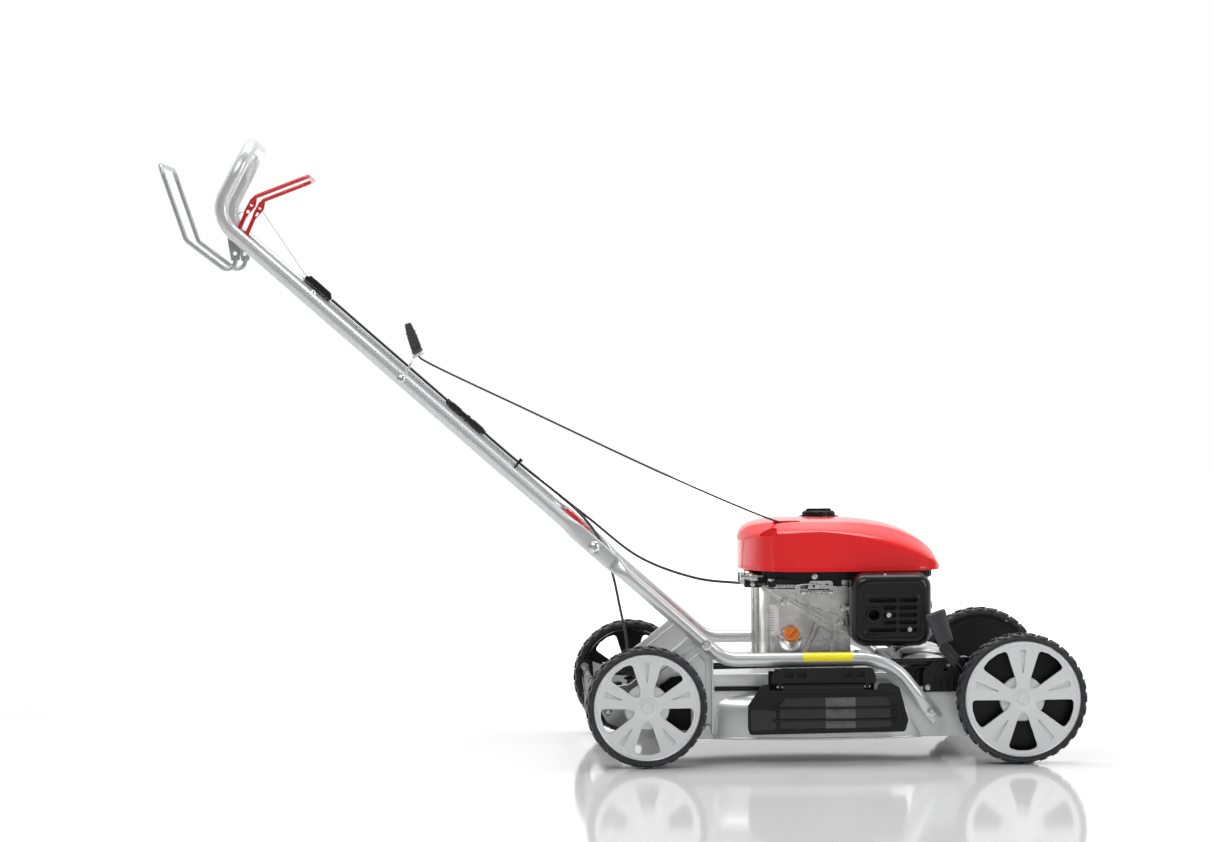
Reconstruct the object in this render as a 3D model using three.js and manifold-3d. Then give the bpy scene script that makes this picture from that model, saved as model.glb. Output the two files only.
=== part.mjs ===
// A walk-behind rotary lawn mower with a side-discharge flap, rear drive and a folding handle.
// Millimetres. +X points forward, +Y to the operator's left, +Z up. The wheels stand on Z = 0,
// and the origin is on the ground, midway along the whole machine and on its centre plane.
import * as THREE from "three";
import { mergeVertices } from "three/addons/utils/BufferGeometryUtils.js";
import Module from "manifold-3d";

const wasm = await Module();
wasm.setup();

// ---- driving dimensions ----
const CLEAR = 0.3; // gap between touching pieces
const WHEELBASE = 630;
const HALF_TRACK = 260;
const REAR_R = 102;
const FRONT_R = 110;
const WHEEL_WIDTH = 45;
const REAR_X = 34;
const FRONT_X = REAR_X + WHEELBASE;
const TUBE_R = 11.5;
const TUBE_WALL = 1.7;
const TUBE_Y = 217; // half the distance between the two handle tubes
const CRANK_X = 318;
const BLADE_R = 226;
const DECK_BOTTOM = 40;
const DECK_TOP = 150;
const DECK_HALF = 201;
const BULGE_HALF = 236;
const SHEET = 2;
const COVER_BOTTOM = 315;

// Height adjustment: each wheel swings on a crank arm about its pivot bar.
const ARM_X = 58;
const ARM_DROP = 8;
const REAR_PIVOT = [REAR_X - ARM_X, REAR_R + ARM_DROP];
const FRONT_PIVOT = [FRONT_X - ARM_X, FRONT_R + ARM_DROP];
const FLAP_ROD = [-50, 126]; // the rear flap's rod
const LINK_RISE = 50; // from a pivot bar up to its link pin
const LINK_SWING = 22; // degrees each way
const PIVOT_R = 8;
const SHAFT_R = 6;
const PIN_R = 3;

// The handle's straight legs run up and back from the fold bolt.
const LEG_ANGLE = THREE.MathUtils.degToRad(41.5);
const FOLD = [-50, 367.5];
const LAP = 38; // how far each tube passes the fold bolt
const HANDLE_BEND = [-680, 925];
const HANDLE_TOP = [-618, 1044];
const BAIL_PIVOT = [-648, 893];
const BAIL_R = 4;
const STOP_BAIL_Y = 199;
const DRIVE_BAIL_Y = 189;

// Belt drive from the crankshaft to the gearbox on the rear axle.
const BELT_Z = [134.4, 142.6];
const BELT_THICK = 7;
const CRANK_GROOVE = 20;
const GEARBOX_GROOVE = 24;
const GEARBOX_X = 20;
const FLANGE_OVER = 6.5;

// ---- materials ----
const finish = (color, roughness, metalness) =>
  new THREE.MeshStandardMaterial({ color, roughness, metalness });
const silverPaint = finish(0xc9ccca, 0.35, 0.6);
const tubePaint = finish(0xa9adab, 0.35, 0.6);
const zinc = finish(0xd6d8d8, 0.3, 0.9);
const darkSteel = finish(0x4a4c4e, 0.45, 0.8);
const castAluminium = finish(0xb9bcba, 0.5, 0.8);
const redPlastic = finish(0xd81c1c, 0.2, 0);
const redPaint = finish(0xc7282a, 0.35, 0.2);
const blackPlastic = finish(0x1d1d1f, 0.5, 0);
const blackRubber = finish(0x18181a, 0.8, 0);
const rimPlastic = finish(0xd3d5d4, 0.4, 0.3);
const orangePlastic = finish(0xf08a1c, 0.35, 0);

// ---- solids and booleans ----
function solid(geometry) {
  const bare = geometry.clone();
  bare.deleteAttribute("normal");
  bare.deleteAttribute("uv");
  const merged = mergeVertices(bare, 1e-3);
  const index = merged.index ? merged.index.array : merged.getAttribute("position").array.map((_, i) => i);
  const build = (triVerts) =>
    new wasm.Manifold(
      new wasm.Mesh({
        numProp: 3,
        vertProperties: new Float32Array(merged.getAttribute("position").array),
        triVerts,
      }),
    );
  const made = build(new Uint32Array(index));
  if (made.volume() > 0) return made;
  const turned = new Uint32Array(index);
  for (let i = 0; i < turned.length; i += 3) {
    turned[i] = index[i + 1];
    turned[i + 1] = index[i];
  }
  return build(turned);
}

function geometryOf(shape) {
  const mesh = shape.getMesh();
  const geometry = new THREE.BufferGeometry();
  geometry.setAttribute("position", new THREE.BufferAttribute(new Float32Array(mesh.vertProperties), 3));
  geometry.setIndex(new THREE.BufferAttribute(new Uint32Array(mesh.triVerts), 1));
  geometry.computeVertexNormals();
  return geometry;
}

const join = (first, ...rest) =>
  geometryOf(rest.reduce((sum, next) => sum.add(solid(next)), solid(first)));
const cut = (first, ...tools) =>
  geometryOf(tools.reduce((left, tool) => left.subtract(solid(tool)), solid(first)));
const common = (first, second) => geometryOf(solid(first).intersect(solid(second)));

// ---- basic shapes, each placed in the machine's frame ----
function box(x0, x1, y0, y1, z0, z1) {
  const geometry = new THREE.BoxGeometry(x1 - x0, y1 - y0, z1 - z0);
  return geometry.translate((x0 + x1) / 2, (y0 + y1) / 2, (z0 + z1) / 2);
}

// A plate with an XZ outline, between two Y values.
function plateY(outline, y0, y1) {
  const shape = new THREE.Shape(outline.map(([x, z]) => new THREE.Vector2(x, z)));
  const geometry = new THREE.ExtrudeGeometry(shape, { depth: y1 - y0, bevelEnabled: false });
  return geometry.rotateX(Math.PI / 2).translate(0, y1, 0);
}

// A plate with an XY outline, between two Z values.
function plateZ(outline, z0, z1) {
  const shape = new THREE.Shape(outline.map(([x, y]) => new THREE.Vector2(x, y)));
  const geometry = new THREE.ExtrudeGeometry(shape, { depth: z1 - z0, bevelEnabled: false });
  return geometry.translate(0, 0, z0);
}

function rodY(x, z, radius, y0, y1, sides = 16) {
  const geometry = new THREE.CylinderGeometry(radius, radius, Math.abs(y1 - y0), sides);
  return geometry.translate(x, (y0 + y1) / 2, z);
}

function rodZ(x, y, radius, z0, z1, sides = 16) {
  const geometry = new THREE.CylinderGeometry(radius, radius, z1 - z0, sides);
  return geometry.rotateX(Math.PI / 2).translate(x, y, (z0 + z1) / 2);
}

function rodX(y, z, radius, x0, x1, sides = 12) {
  const geometry = new THREE.CylinderGeometry(radius, radius, x1 - x0, sides);
  return geometry.rotateZ(Math.PI / 2).translate((x0 + x1) / 2, y, z);
}

// A turned piece about a vertical axis through (x, y), from a profile of [radius, z].
function turnedZ(profile, x, y, sides = 20, start = 0) {
  const points = profile.map(([r, z]) => new THREE.Vector2(r, z));
  return new THREE.LatheGeometry(points, sides, start).rotateX(Math.PI / 2).translate(x, y, 0);
}

const closed = (profile) => [...profile, profile[0]];

const arc = (x, y, radius, from, to, steps) =>
  Array.from({ length: steps + 1 }, (_, i) => {
    const angle = THREE.MathUtils.degToRad(from + ((to - from) * i) / steps);
    return [x + radius * Math.cos(angle), y + radius * Math.sin(angle)];
  });

// The outline of a bar with round ends between two points.
function barOutline([x0, z0], [x1, z1], radius, steps = 6) {
  const along = THREE.MathUtils.radToDeg(Math.atan2(z1 - z0, x1 - x0));
  return [
    ...arc(x1, z1, radius, along - 90, along + 90, steps),
    ...arc(x0, z0, radius, along + 90, along + 270, steps),
  ];
}

const roundedRect = (x0, x1, z0, z1, r, steps = 3) => [
  ...arc(x1 - r, z0 + r, r, -90, 0, steps),
  ...arc(x1 - r, z1 - r, r, 0, 90, steps),
  ...arc(x0 + r, z1 - r, r, 90, 180, steps),
  ...arc(x0 + r, z0 + r, r, 180, 270, steps),
];

// Moves each side of a counter-clockwise outline inwards by d.
function inset(outline, d) {
  const count = outline.length;
  const side = (i) => {
    const [x0, z0] = outline[(i + count) % count];
    const [x1, z1] = outline[(i + 1) % count];
    const length = Math.hypot(x1 - x0, z1 - z0);
    const nx = -(z1 - z0) / length;
    const nz = (x1 - x0) / length;
    return [nx, nz, nx * x0 + nz * z0 + d];
  };
  return outline.map((_, i) => {
    const [a, b, p] = side(i - 1);
    const [c, e, q] = side(i);
    const det = a * e - b * c;
    return [(p * e - b * q) / det, (a * q - p * c) / det];
  });
}

// ---- tubes and wires ----
// A route through given points, sampled exactly at them.
class Route extends THREE.Curve {
  constructor(points) {
    super();
    this.points = points;
  }
  getUtoTmapping(u) {
    return u;
  }
  getPoint(t, target = new THREE.Vector3()) {
    const last = this.points.length - 1;
    const i = Math.min(Math.floor(t * last), last - 1);
    return target.lerpVectors(this.points[i], this.points[i + 1], t * last - i);
  }
  getTangent(t, target = new THREE.Vector3()) {
    const last = this.points.length - 1;
    const i = Math.round(t * last);
    target.set(0, 0, 0);
    if (i > 0) target.add(this.points[i].clone().sub(this.points[i - 1]).normalize());
    if (i < last) target.add(this.points[i + 1].clone().sub(this.points[i]).normalize());
    return target.normalize();
  }
}

// Rounds the inner corners of a polyline with arcs of the given radii.
function bent(corners, radii, steps = 4) {
  const points = corners.map((c) => new THREE.Vector3(...c));
  const route = [points[0]];
  for (let i = 1; i < points.length - 1; i++) {
    const radius = Array.isArray(radii) ? radii[i - 1] : radii;
    const back = points[i - 1].clone().sub(points[i]).normalize();
    const on = points[i + 1].clone().sub(points[i]).normalize();
    const half = back.angleTo(on) / 2;
    const centre = back.clone().add(on).normalize();
    centre.multiplyScalar(radius / Math.sin(half)).add(points[i]);
    const start = points[i].clone().addScaledVector(back, radius / Math.tan(half)).sub(centre);
    const end = points[i].clone().addScaledVector(on, radius / Math.tan(half)).sub(centre);
    const turn = start.angleTo(end);
    for (let k = 0; k <= steps; k++) {
      const share = k / steps;
      const p = start.clone().multiplyScalar(Math.sin((1 - share) * turn) / Math.sin(turn));
      p.addScaledVector(end, Math.sin(share * turn) / Math.sin(turn));
      route.push(p.add(centre));
    }
  }
  route.push(points[points.length - 1]);
  return route;
}

function sweep(points, radius, sides) {
  const section = new THREE.Shape(
    Array.from({ length: sides }, (_, i) => {
      const angle = (2 * Math.PI * i) / sides;
      return new THREE.Vector2(radius * Math.cos(angle), radius * Math.sin(angle));
    }),
  );
  return new THREE.ExtrudeGeometry(section, {
    steps: points.length - 1,
    bevelEnabled: false,
    extrudePath: new Route(points),
  });
}

const smooth = (points, steps) =>
  new THREE.CatmullRomCurve3(points.map((p) => new THREE.Vector3(...p)), false, "centripetal").getSpacedPoints(steps);

// ---- the scene graph ----
const mower = new THREE.Group();
mower.name = "lawn_mower";

function add(name, geometry, material, parent = mower) {
  const mesh = new THREE.Mesh(geometry, material);
  mesh.name = name;
  parent.add(mesh);
  return mesh;
}

// The same piece on both sides, mirrored in the centre plane.
function addPair(name, geometry, material, parent = mower) {
  add(`${name}_right`, geometry, material, parent);
  add(`${name}_left`, geometry, material, parent).scale.y = -1;
}

// ---- deck ----
const DECK_SIDE = [
  [66, DECK_BOTTOM], [584, DECK_BOTTOM], [584, 112], [574, 122], [488, 124], [456, DECK_TOP], [84, DECK_TOP], [66, 136],
];
const BULGE_SIDE = [
  [150, DECK_BOTTOM], [503, DECK_BOTTOM], [463, 112], [170, 112], [150, 94],
];
const lowered = (outline) => outline.map(([x, z]) => [x, z < DECK_BOTTOM + SHEET + 1 ? DECK_BOTTOM - 5 : z]);

function deck() {
  const ear = [
    [560, 42], [650, 42], [650, 128], [630, 138], [560, 122],
  ];
  const outer = join(
    plateY(DECK_SIDE, -DECK_HALF, DECK_HALF),
    plateY(BULGE_SIDE, -BULGE_HALF, BULGE_HALF),
    plateY(ear, -DECK_HALF, -DECK_HALF + SHEET),
    plateY(ear, DECK_HALF - SHEET, DECK_HALF),
  );
  return cut(
    outer,
    plateY(lowered(inset(DECK_SIDE, SHEET)), SHEET - DECK_HALF, DECK_HALF - SHEET),
    plateY(lowered(inset(BULGE_SIDE, SHEET)), SHEET - BULGE_HALF, BULGE_HALF - SHEET),
    rodZ(CRANK_X, 0, 32, DECK_TOP - 10, DECK_TOP + 5, 20),
    rodY(...FRONT_PIVOT, PIVOT_R + 0.4, -DECK_HALF - 5, DECK_HALF + 5),
    box(60, 92, -36, 36, 126, DECK_TOP + 2),
    box(225, 445, -BULGE_HALF - 5, -DECK_HALF + 5, 54, 98),
  );
}
add("deck", deck(), silverPaint);

// Side plates that carry the rear pivot bar and the handle's lower tubes.
function rearBracket() {
  const plate = [
    [-59, 118], [-44, 98], [-30, 70], [40, 44], [120, 44], [150, 50], [150, 182], [146, 200],
    [124, 220], [108, 210], [56, 168], [10, 132], [-20, 128], [-42, 136], [-59, 134],
  ];
  const swing = LINK_SWING + 8;
  const reach = Math.hypot(ARM_X, ARM_DROP);
  const level = -THREE.MathUtils.radToDeg(Math.atan2(ARM_DROP, ARM_X));
  const slot = [
    ...arc(...REAR_PIVOT, reach + SHAFT_R + 1, level - swing, level + swing, 6),
    ...arc(...REAR_PIVOT, reach - SHAFT_R - 1, level + swing, level - swing, 6),
  ];
  const y0 = -DECK_HALF - CLEAR - SHEET;
  const y1 = -DECK_HALF - CLEAR;
  return cut(
    plateY(plate, y0, y1),
    plateY(slot, y0 - 2, y1 + 2),
    rodY(...REAR_PIVOT, PIVOT_R + 0.4, y0 - 2, y1 + 2),
    rodY(...FLAP_ROD, 4.4, y0 - 2, y1 + 2, 12),
  );
}
addPair("rear_bracket", rearBracket(), silverPaint);

// ---- handle frame ----
// A point on a leg: distance up from the fold bolt, height over the tube's centre line, and Y.
const cosLeg = Math.cos(LEG_ANGLE);
const sinLeg = Math.sin(LEG_ANGLE);
const onLeg = (up, lift, y) => [
  FOLD[0] - up * cosLeg + lift * sinLeg,
  y,
  FOLD[1] + up * sinLeg + lift * cosLeg,
];
// A box laid along the leg.
const legBox = (up0, up1, y0, y1, lift0, lift1) =>
  box(-up1, -up0, y0, y1, lift0, lift1).rotateY(LEG_ANGLE).translate(FOLD[0], 0, FOLD[1]);

const LAP_CUT = LAP + 4;
const frameStart = onLeg(LAP, 0, -TUBE_Y);
const frameRoute = bent(
  [frameStart, [167.5, -TUBE_Y, 175], [445.5, -TUBE_Y, 174], [527, -TUBE_Y, 71]],
  [60, 100],
  4,
);
function frameTube() {
  return cut(
    sweep(frameRoute, TUBE_R, 12),
    sweep(frameRoute, TUBE_R - TUBE_WALL, 8),
    legBox(-LAP_CUT, 80, -TUBE_Y - 20, -TUBE_Y + CLEAR / 2, -20, 20),
    rodY(...FOLD, 4.4, -TUBE_Y - 20, -TUBE_Y + 20, 12),
  );
}
addPair("frame_tube", frameTube(), tubePaint);

function foldBolt() {
  return join(
    rodY(...FOLD, 4, -232, -199.5, 12),
    rodY(...FOLD, 9, -234, -TUBE_Y - TUBE_R - CLEAR, 6),
  );
}
addPair("fold_bolt", foldBolt(), zinc);

function clampLever() {
  const hub = rodY(...FOLD, 10, -205.1, -200, 12);
  const lever = legBox(5, 62, -205.1, -201, 5, 15);
  return cut(join(hub, lever), rodY(...FOLD, 4.4, -210, -190, 12));
}
addPair("clamp_lever", clampLever(), redPlastic);

// ---- upper handle ----
const handleRoute = bent(
  [
    onLeg(-LAP, 0, -TUBE_Y),
    [HANDLE_BEND[0], -TUBE_Y, HANDLE_BEND[1]],
    [HANDLE_TOP[0], -TUBE_Y, HANDLE_TOP[1]],
    [HANDLE_TOP[0], TUBE_Y, HANDLE_TOP[1]],
    [HANDLE_BEND[0], TUBE_Y, HANDLE_BEND[1]],
    onLeg(-LAP, 0, TUBE_Y),
  ],
  [50, 62, 62, 50],
  3,
);
function upperHandle() {
  const bailPin = (side) => [
    rodY(...BAIL_PIVOT, PIN_R, side * (TUBE_Y - 5), side * 182, 10),
    rodY(...BAIL_PIVOT, 6, side * 184.5, side * 181, 10),
  ];
  const lap = (side) => [
    legBox(-80, LAP_CUT, ...[side * (TUBE_Y + CLEAR / 2), side * (TUBE_Y - 20)].sort((a, b) => a - b), -20, 20),
    rodY(...FOLD, 4.4, side * (TUBE_Y - 20), side * (TUBE_Y + 20), 12),
  ];
  const tube = cut(sweep(handleRoute, TUBE_R, 12), sweep(handleRoute, TUBE_R - TUBE_WALL, 8));
  return cut(
    join(tube, ...bailPin(-1), ...bailPin(1)),
    ...lap(-1),
    ...lap(1),
  );
}
add("upper_handle", upperHandle(), tubePaint);

// A bail: a bent wire whose two ends are flattened into plates that swing on the handle's pins.
function bail(y, corners, radii, plate, plateHalf, hole) {
  const side = (s) => corners.map(([x, z]) => [x, s * y, z]);
  const wire = sweep(bent([...side(-1), ...side(1).reverse()], radii, 3), BAIL_R, 8);
  const ends = [-1, 1].map((s) => plateY(plate, s * y - plateHalf, s * y + plateHalf));
  const holes = [-1, 1].flatMap((s) => [
    rodY(...BAIL_PIVOT, PIN_R + CLEAR, s * y - 5, s * y + 5, 10),
    rodY(...hole, 3.2, s * y - 5, s * y + 5, 8),
  ]);
  return cut(join(wire, ...ends), ...holes);
}
const stopBail = bail(
  STOP_BAIL_Y,
  [[-646, 858], [-645, 822], [-728, 886], [-770.2, 1011]],
  [14, 14, 20, 20, 14, 14],
  [[-638, 852], [-634, 880], [-638, 900], [-648, 905], [-658, 900], [-659, 880], [-654, 852]],
  1.75,
  [-646.5, 863],
);
add("stop_bail", stopBail, zinc);

const driveBail = bail(
  DRIVE_BAIL_Y,
  [[-638, 911], [-612, 957], [-524, 991]],
  [20, 20, 20, 20],
  [[-656, 888], [-642, 882], [-622, 918], [-608, 942], [-610, 954], [-620, 954], [-634, 938]],
  1.75,
  [-624, 933],
);
add("drive_bail", driveBail, redPaint);

// ---- starter rope, its guide on the right-hand leg, and its grip ----
const GUIDE = [-342, -201.5, 692];
const GRIP_TILT = THREE.MathUtils.degToRad(-18.7);
function ropeGuide() {
  const foot = [-371, -201.5, 652];
  const ring = new THREE.TorusGeometry(8.5, 2.5, 6, 12).rotateY(GRIP_TILT).translate(...GUIDE);
  const neck = [GUIDE[0] - 8, GUIDE[1], GUIDE[2] - 2.7];
  return join(
    sweep([foot, neck].map((p) => new THREE.Vector3(...p)), 2.5, 6),
    rodY(foot[0], foot[2], 7, -205.1, -199, 8),
    ring,
  );
}
add("rope_guide", ropeGuide(), zinc);

// Built upright above the guide's ring, then leaned back with it.
function starterGrip() {
  const base = box(-10, 10, -13, 13, 3.2, 10);
  const body = plateY([[-7, 9], [7, 9], [9, 30], [6, 56], [-6, 56], [-9, 30]], -8, 8);
  const socket = rodZ(0, 0, 3.4, 0, 8, 8);
  return cut(join(base, body), socket).rotateY(GRIP_TILT).translate(...GUIDE);
}
add("starter_grip", starterGrip(), blackPlastic);

const ROPE_R = 1.8;
const ropeRoute = smooth(
  [
    [-343.6, -201.5, 697], [-340, -200.7, 687.5], [-330, -198.6, 680.5], [-150, -160, 592], [80, -111, 481],
    [240, -76, 410], [300, -63, 387.5],
  ],
  24,
);
add("starter_rope", sweep(ropeRoute, ROPE_R, 8), blackRubber);

// ---- control cables on the left-hand leg ----
const CABLE_R = 2.5;
const CABLE_LIFT = 15.4;
add("cable_clip", legBox(608, 668, 203, 223, TUBE_R + CLEAR, 24), blackPlastic);

const stopCableRoute = smooth(
  [
    onLeg(607, CABLE_LIFT, 216), onLeg(380, CABLE_LIFT, 216), onLeg(166, CABLE_LIFT, 216), onLeg(60, 20, 214),
    onLeg(0, 23, 209), [45, 150, 324], [140, 62, 292], [205, 0, 288], [230, -60, 291], [248, -106, 293],
  ],
  44,
);
add("stop_cable", sweep(stopCableRoute, CABLE_R, 8), blackRubber);

const driveCableRoute = smooth(
  [
    onLeg(607, CABLE_LIFT, 208), onLeg(380, CABLE_LIFT, 208), onLeg(166, CABLE_LIFT, 208), onLeg(75, 19, 206),
    onLeg(28, 19, 195), [-28, 172, 362], [-4, 130, 300], [9, 100, 236], [19, 78, 180], [19, 68, 138],
  ],
  44,
);
add("drive_cable", sweep(driveCableRoute, CABLE_R, 8), blackRubber);

// ---- side-discharge flap and the black strip it hangs from ----
const FLAP_PIVOT = [-242.5, 131];
function flapBracket() {
  const strip = box(243, 422, -247, -238, 137, 163);
  const shelf = box(250, 415, -240, -DECK_HALF - CLEAR, 150, 154);
  const back = box(243, 422, -206, -DECK_HALF - CLEAR, 121, 154);
  const rearStrip = box(152, 245, -206, -DECK_HALF - CLEAR, 121, 129);
  const slots = [265, 300, 335, 370].map((x) => box(x, x + 22, -250, -245, 145, 155));
  const tabs = [[256, 262], [403, 409]].flatMap(([a, b]) => [
    rodX(...FLAP_PIVOT, 4.2, a, b, 10),
    box(a, b, -245, -240, FLAP_PIVOT[1], 138),
  ]);
  return cut(join(strip, shelf, back, rearStrip, ...tabs, rodX(...FLAP_PIVOT, 2.5, 257, 408, 8)), ...slots);
}
add("flap_bracket", flapBracket(), blackPlastic);

function dischargeFlap() {
  const plate = [
    [208, 51], [470, 54], [475, 74], [460, 129], [446, 136], [426, 136], [424, 125], [401, 125], [401, 129],
    [264, 129], [264, 125], [241, 125], [239, 136], [228, 134], [205, 100], [205, 62],
  ];
  const ribs = [68, 92].map((z) => box(262, 448, -251, -245, z, z + 5));
  const knuckle = rodX(...FLAP_PIVOT, 5.4, 264, 401, 12);
  return cut(join(plateY(plate, -246, -241), knuckle, ...ribs), rodX(...FLAP_PIVOT, 2.9, 250, 415, 8));
}
add("discharge_flap", dischargeFlap(), blackPlastic);

// A sheet between the rear brackets that guards the operator's feet.
function rearFlap() {
  const [x, z] = FLAP_ROD;
  const sheet = box(x - 1.5, x + 1.5, -195, 195, 50, z);
  return join(sheet, rodY(x, z, 4, -204, 204, 12));
}
add("rear_flap", rearFlap(), blackRubber);

// ---- height adjustment ----
// A pivot bar with an arm at each end, and a short lever for the link rod.
function pivotBar(pivot, axle, armY, link) {
  const [x, z] = pivot;
  const pin = [x, z + LINK_RISE];
  const arms = [-1, 1].map((s) => plateY(barOutline(pivot, axle, 13), s * armY - 3, s * armY + 3));
  return join(
    rodY(x, z, PIVOT_R, -armY, armY),
    ...arms,
    plateY(barOutline(pivot, pin, 10), link, link + 5),
    rodY(...pin, PIN_R, link - 9, link + 1, 10),
  );
}
const LINK_Y = -186;
const REAR_ARM_Y = 213;
const FRONT_ARM_Y = 229;
const rearAxle = cut(
  pivotBar(REAR_PIVOT, [REAR_X, REAR_R], REAR_ARM_Y, LINK_Y),
  rodY(REAR_X, REAR_R, SHAFT_R + CLEAR, -REAR_ARM_Y - 5, -REAR_ARM_Y + 5),
  rodY(REAR_X, REAR_R, SHAFT_R + CLEAR, REAR_ARM_Y - 5, REAR_ARM_Y + 5),
);
add("rear_axle", rearAxle, darkSteel);

const HUB_END = HALF_TRACK + WHEEL_WIDTH / 2;
const wheelShaft = (x, z, s, from) => [
  rodY(x, z, SHAFT_R, s * from, s * (HUB_END + 1)),
  rodY(x, z, 10, s * (HUB_END + 0.2), s * (HUB_END + 3), 12),
];
const frontAxle = join(
  pivotBar(FRONT_PIVOT, [FRONT_X, FRONT_R], FRONT_ARM_Y, LINK_Y),
  ...wheelShaft(FRONT_X, FRONT_R, -1, FRONT_ARM_Y),
  ...wheelShaft(FRONT_X, FRONT_R, 1, FRONT_ARM_Y),
);
add("front_axle", frontAxle, darkSteel);

function linkRod() {
  const rear = [REAR_PIVOT[0], REAR_PIVOT[1] + LINK_RISE];
  const front = [FRONT_PIVOT[0], FRONT_PIVOT[1] + LINK_RISE];
  const y0 = LINK_Y - 7;
  const y1 = LINK_Y - 1;
  return cut(
    plateY(barOutline(rear, front, 7), y0, y1),
    rodY(...rear, PIN_R + CLEAR, y0 - 2, y1 + 2, 10),
    rodY(...front, PIN_R + CLEAR, y0 - 2, y1 + 2, 10),
  );
}
add("link_rod", linkRod(), darkSteel);

const LEVER_Y = [-216.5, -211.5];
const LEVER_KNEE = [541, 190];
function heightLever() {
  const bar = plateY(barOutline(FRONT_PIVOT, LEVER_KNEE, 7), ...LEVER_Y);
  const hub = rodY(...FRONT_PIVOT, 14, ...LEVER_Y);
  return cut(join(bar, hub), rodY(...FRONT_PIVOT, PIVOT_R + CLEAR, -220, -208));
}
add("height_lever", heightLever(), blackPlastic);

function heightGrip() {
  const grip = plateY(barOutline([536.5, 203], [519, 247], 10), -222, -206.5);
  const seat = plateY(barOutline(FRONT_PIVOT, LEVER_KNEE, 7 + CLEAR), -225, -200);
  return cut(grip, seat);
}
add("height_grip", heightGrip(), blackPlastic);

function heightQuadrant() {
  const pivot = FRONT_PIVOT;
  const teeth = [135, 143, 151].map((a) => {
    const [[x, z]] = arc(...pivot, 72, a, a, 1);
    return rodY(x, z, 3.5, -210, -195, 8);
  });
  const plate = [[505, 116], [578, 116], [578, 140], [562, 166], [520, 166], [505, 150]];
  return cut(plateY(plate, -206, -DECK_HALF - CLEAR), ...teeth);
}
add("height_quadrant", heightQuadrant(), blackPlastic);

// ---- wheels ----
// Built about the origin with the outer face towards -Y. The tread is a ring of flat faces, and one
// of them is level with the ground.
const TREAD_FACES = 32;
function tyre(radius) {
  const half = WHEEL_WIDTH / 2;
  const corner = radius / Math.cos(Math.PI / TREAD_FACES);
  const profile = closed([
    [radius - 12.2, -half + 3], [corner - 4, -half], [corner, -half + 5], [corner, half - 5],
    [corner - 4, half], [radius - 12.2, half - 3],
  ]);
  return turnedZ(profile, 0, 0, TREAD_FACES, Math.PI / TREAD_FACES).rotateX(Math.PI / 2);
}

function rim(radius) {
  const rimR = radius - 13;
  const profile = closed([
    [SHAFT_R + CLEAR, -21], [17, -21], [17, 5], [rimR - 8, 5], [rimR - 8, -19], [rimR, -19],
    [rimR, 19], [rimR - 9, 13], [17, 13], [17, 22], [SHAFT_R + CLEAR, 22],
  ]);
  const outer = rimR - 12;
  const windows = [0, 1, 2, 3, 4].map((i) => {
    const middle = 54 + 72 * i;
    return plateY([...arc(0, 0, outer, middle - 18, middle + 18, 3), ...arc(0, 0, 26, middle + 14, middle - 14, 1)], -30, 30);
  });
  return cut(turnedZ(profile, 0, 0, 24).rotateX(Math.PI / 2), ...windows);
}

for (const [end, radius, x] of [["rear", REAR_R, REAR_X], ["front", FRONT_R, FRONT_X]]) {
  const tyreShape = tyre(radius);
  const rimShape = rim(radius);
  for (const [side, s] of [["right", -1], ["left", 1]]) {
    const wheel = new THREE.Group();
    wheel.position.set(x, s * HALF_TRACK, radius);
    wheel.scale.y = -s;
    mower.add(wheel);
    add(`tyre_${end}_${side}`, tyreShape, blackRubber, wheel);
    add(`rim_${end}_${side}`, rimShape, rimPlastic, wheel);
  }
}

// ---- rear drive ----
const driveShaft = join(
  rodY(REAR_X, REAR_R, SHAFT_R, -REAR_ARM_Y, REAR_ARM_Y),
  ...wheelShaft(REAR_X, REAR_R, -1, REAR_ARM_Y - 1),
  ...wheelShaft(REAR_X, REAR_R, 1, REAR_ARM_Y - 1),
);
add("drive_shaft", driveShaft, zinc);

const CLUTCH_PIVOT = [42, 33];
const GEARBOX_TOP = 124;
function gearbox() {
  const body = box(4, 54, -42, 42, 78, GEARBOX_TOP);
  const arm = box(-12, 6, -12, 12, 102, 118);
  return cut(
    join(body, arm, rodZ(...CLUTCH_PIVOT, 2.5, GEARBOX_TOP - 2, 130, 10)),
    rodY(REAR_X, REAR_R, SHAFT_R + CLEAR, -50, 50),
    rodZ(GEARBOX_X, 0, 5.3, 112, GEARBOX_TOP + 2, 12),
  );
}
add("gearbox", gearbox(), blackPlastic);

function clutchLever() {
  const lever = plateZ(barOutline(CLUTCH_PIVOT, [19, 68], 6), GEARBOX_TOP + CLEAR, GEARBOX_TOP + 4);
  return cut(lever, rodZ(...CLUTCH_PIVOT, 2.8, 110, 140, 10));
}
add("clutch_lever", clutchLever(), zinc);

const [beltLow, beltHigh] = BELT_Z;
const grooved = (groove, bore) => [
  [bore, beltLow - 3], [groove + FLANGE_OVER, beltLow - 3], [groove + FLANGE_OVER, beltLow - 0.4],
  [groove, beltLow - 0.4], [groove, beltHigh + 0.4], [groove + FLANGE_OVER, beltHigh + 0.4],
  [groove + FLANGE_OVER, beltHigh + 3], [bore, beltHigh + 3],
];
function gearboxPulley() {
  const [, ...rimProfile] = grooved(GEARBOX_GROOVE, 0);
  return turnedZ([[0, 113], [5, 113], [5, beltLow - 3], ...rimProfile], GEARBOX_X, 0, 16);
}
add("gearbox_pulley", gearboxPulley(), darkSteel);

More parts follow.
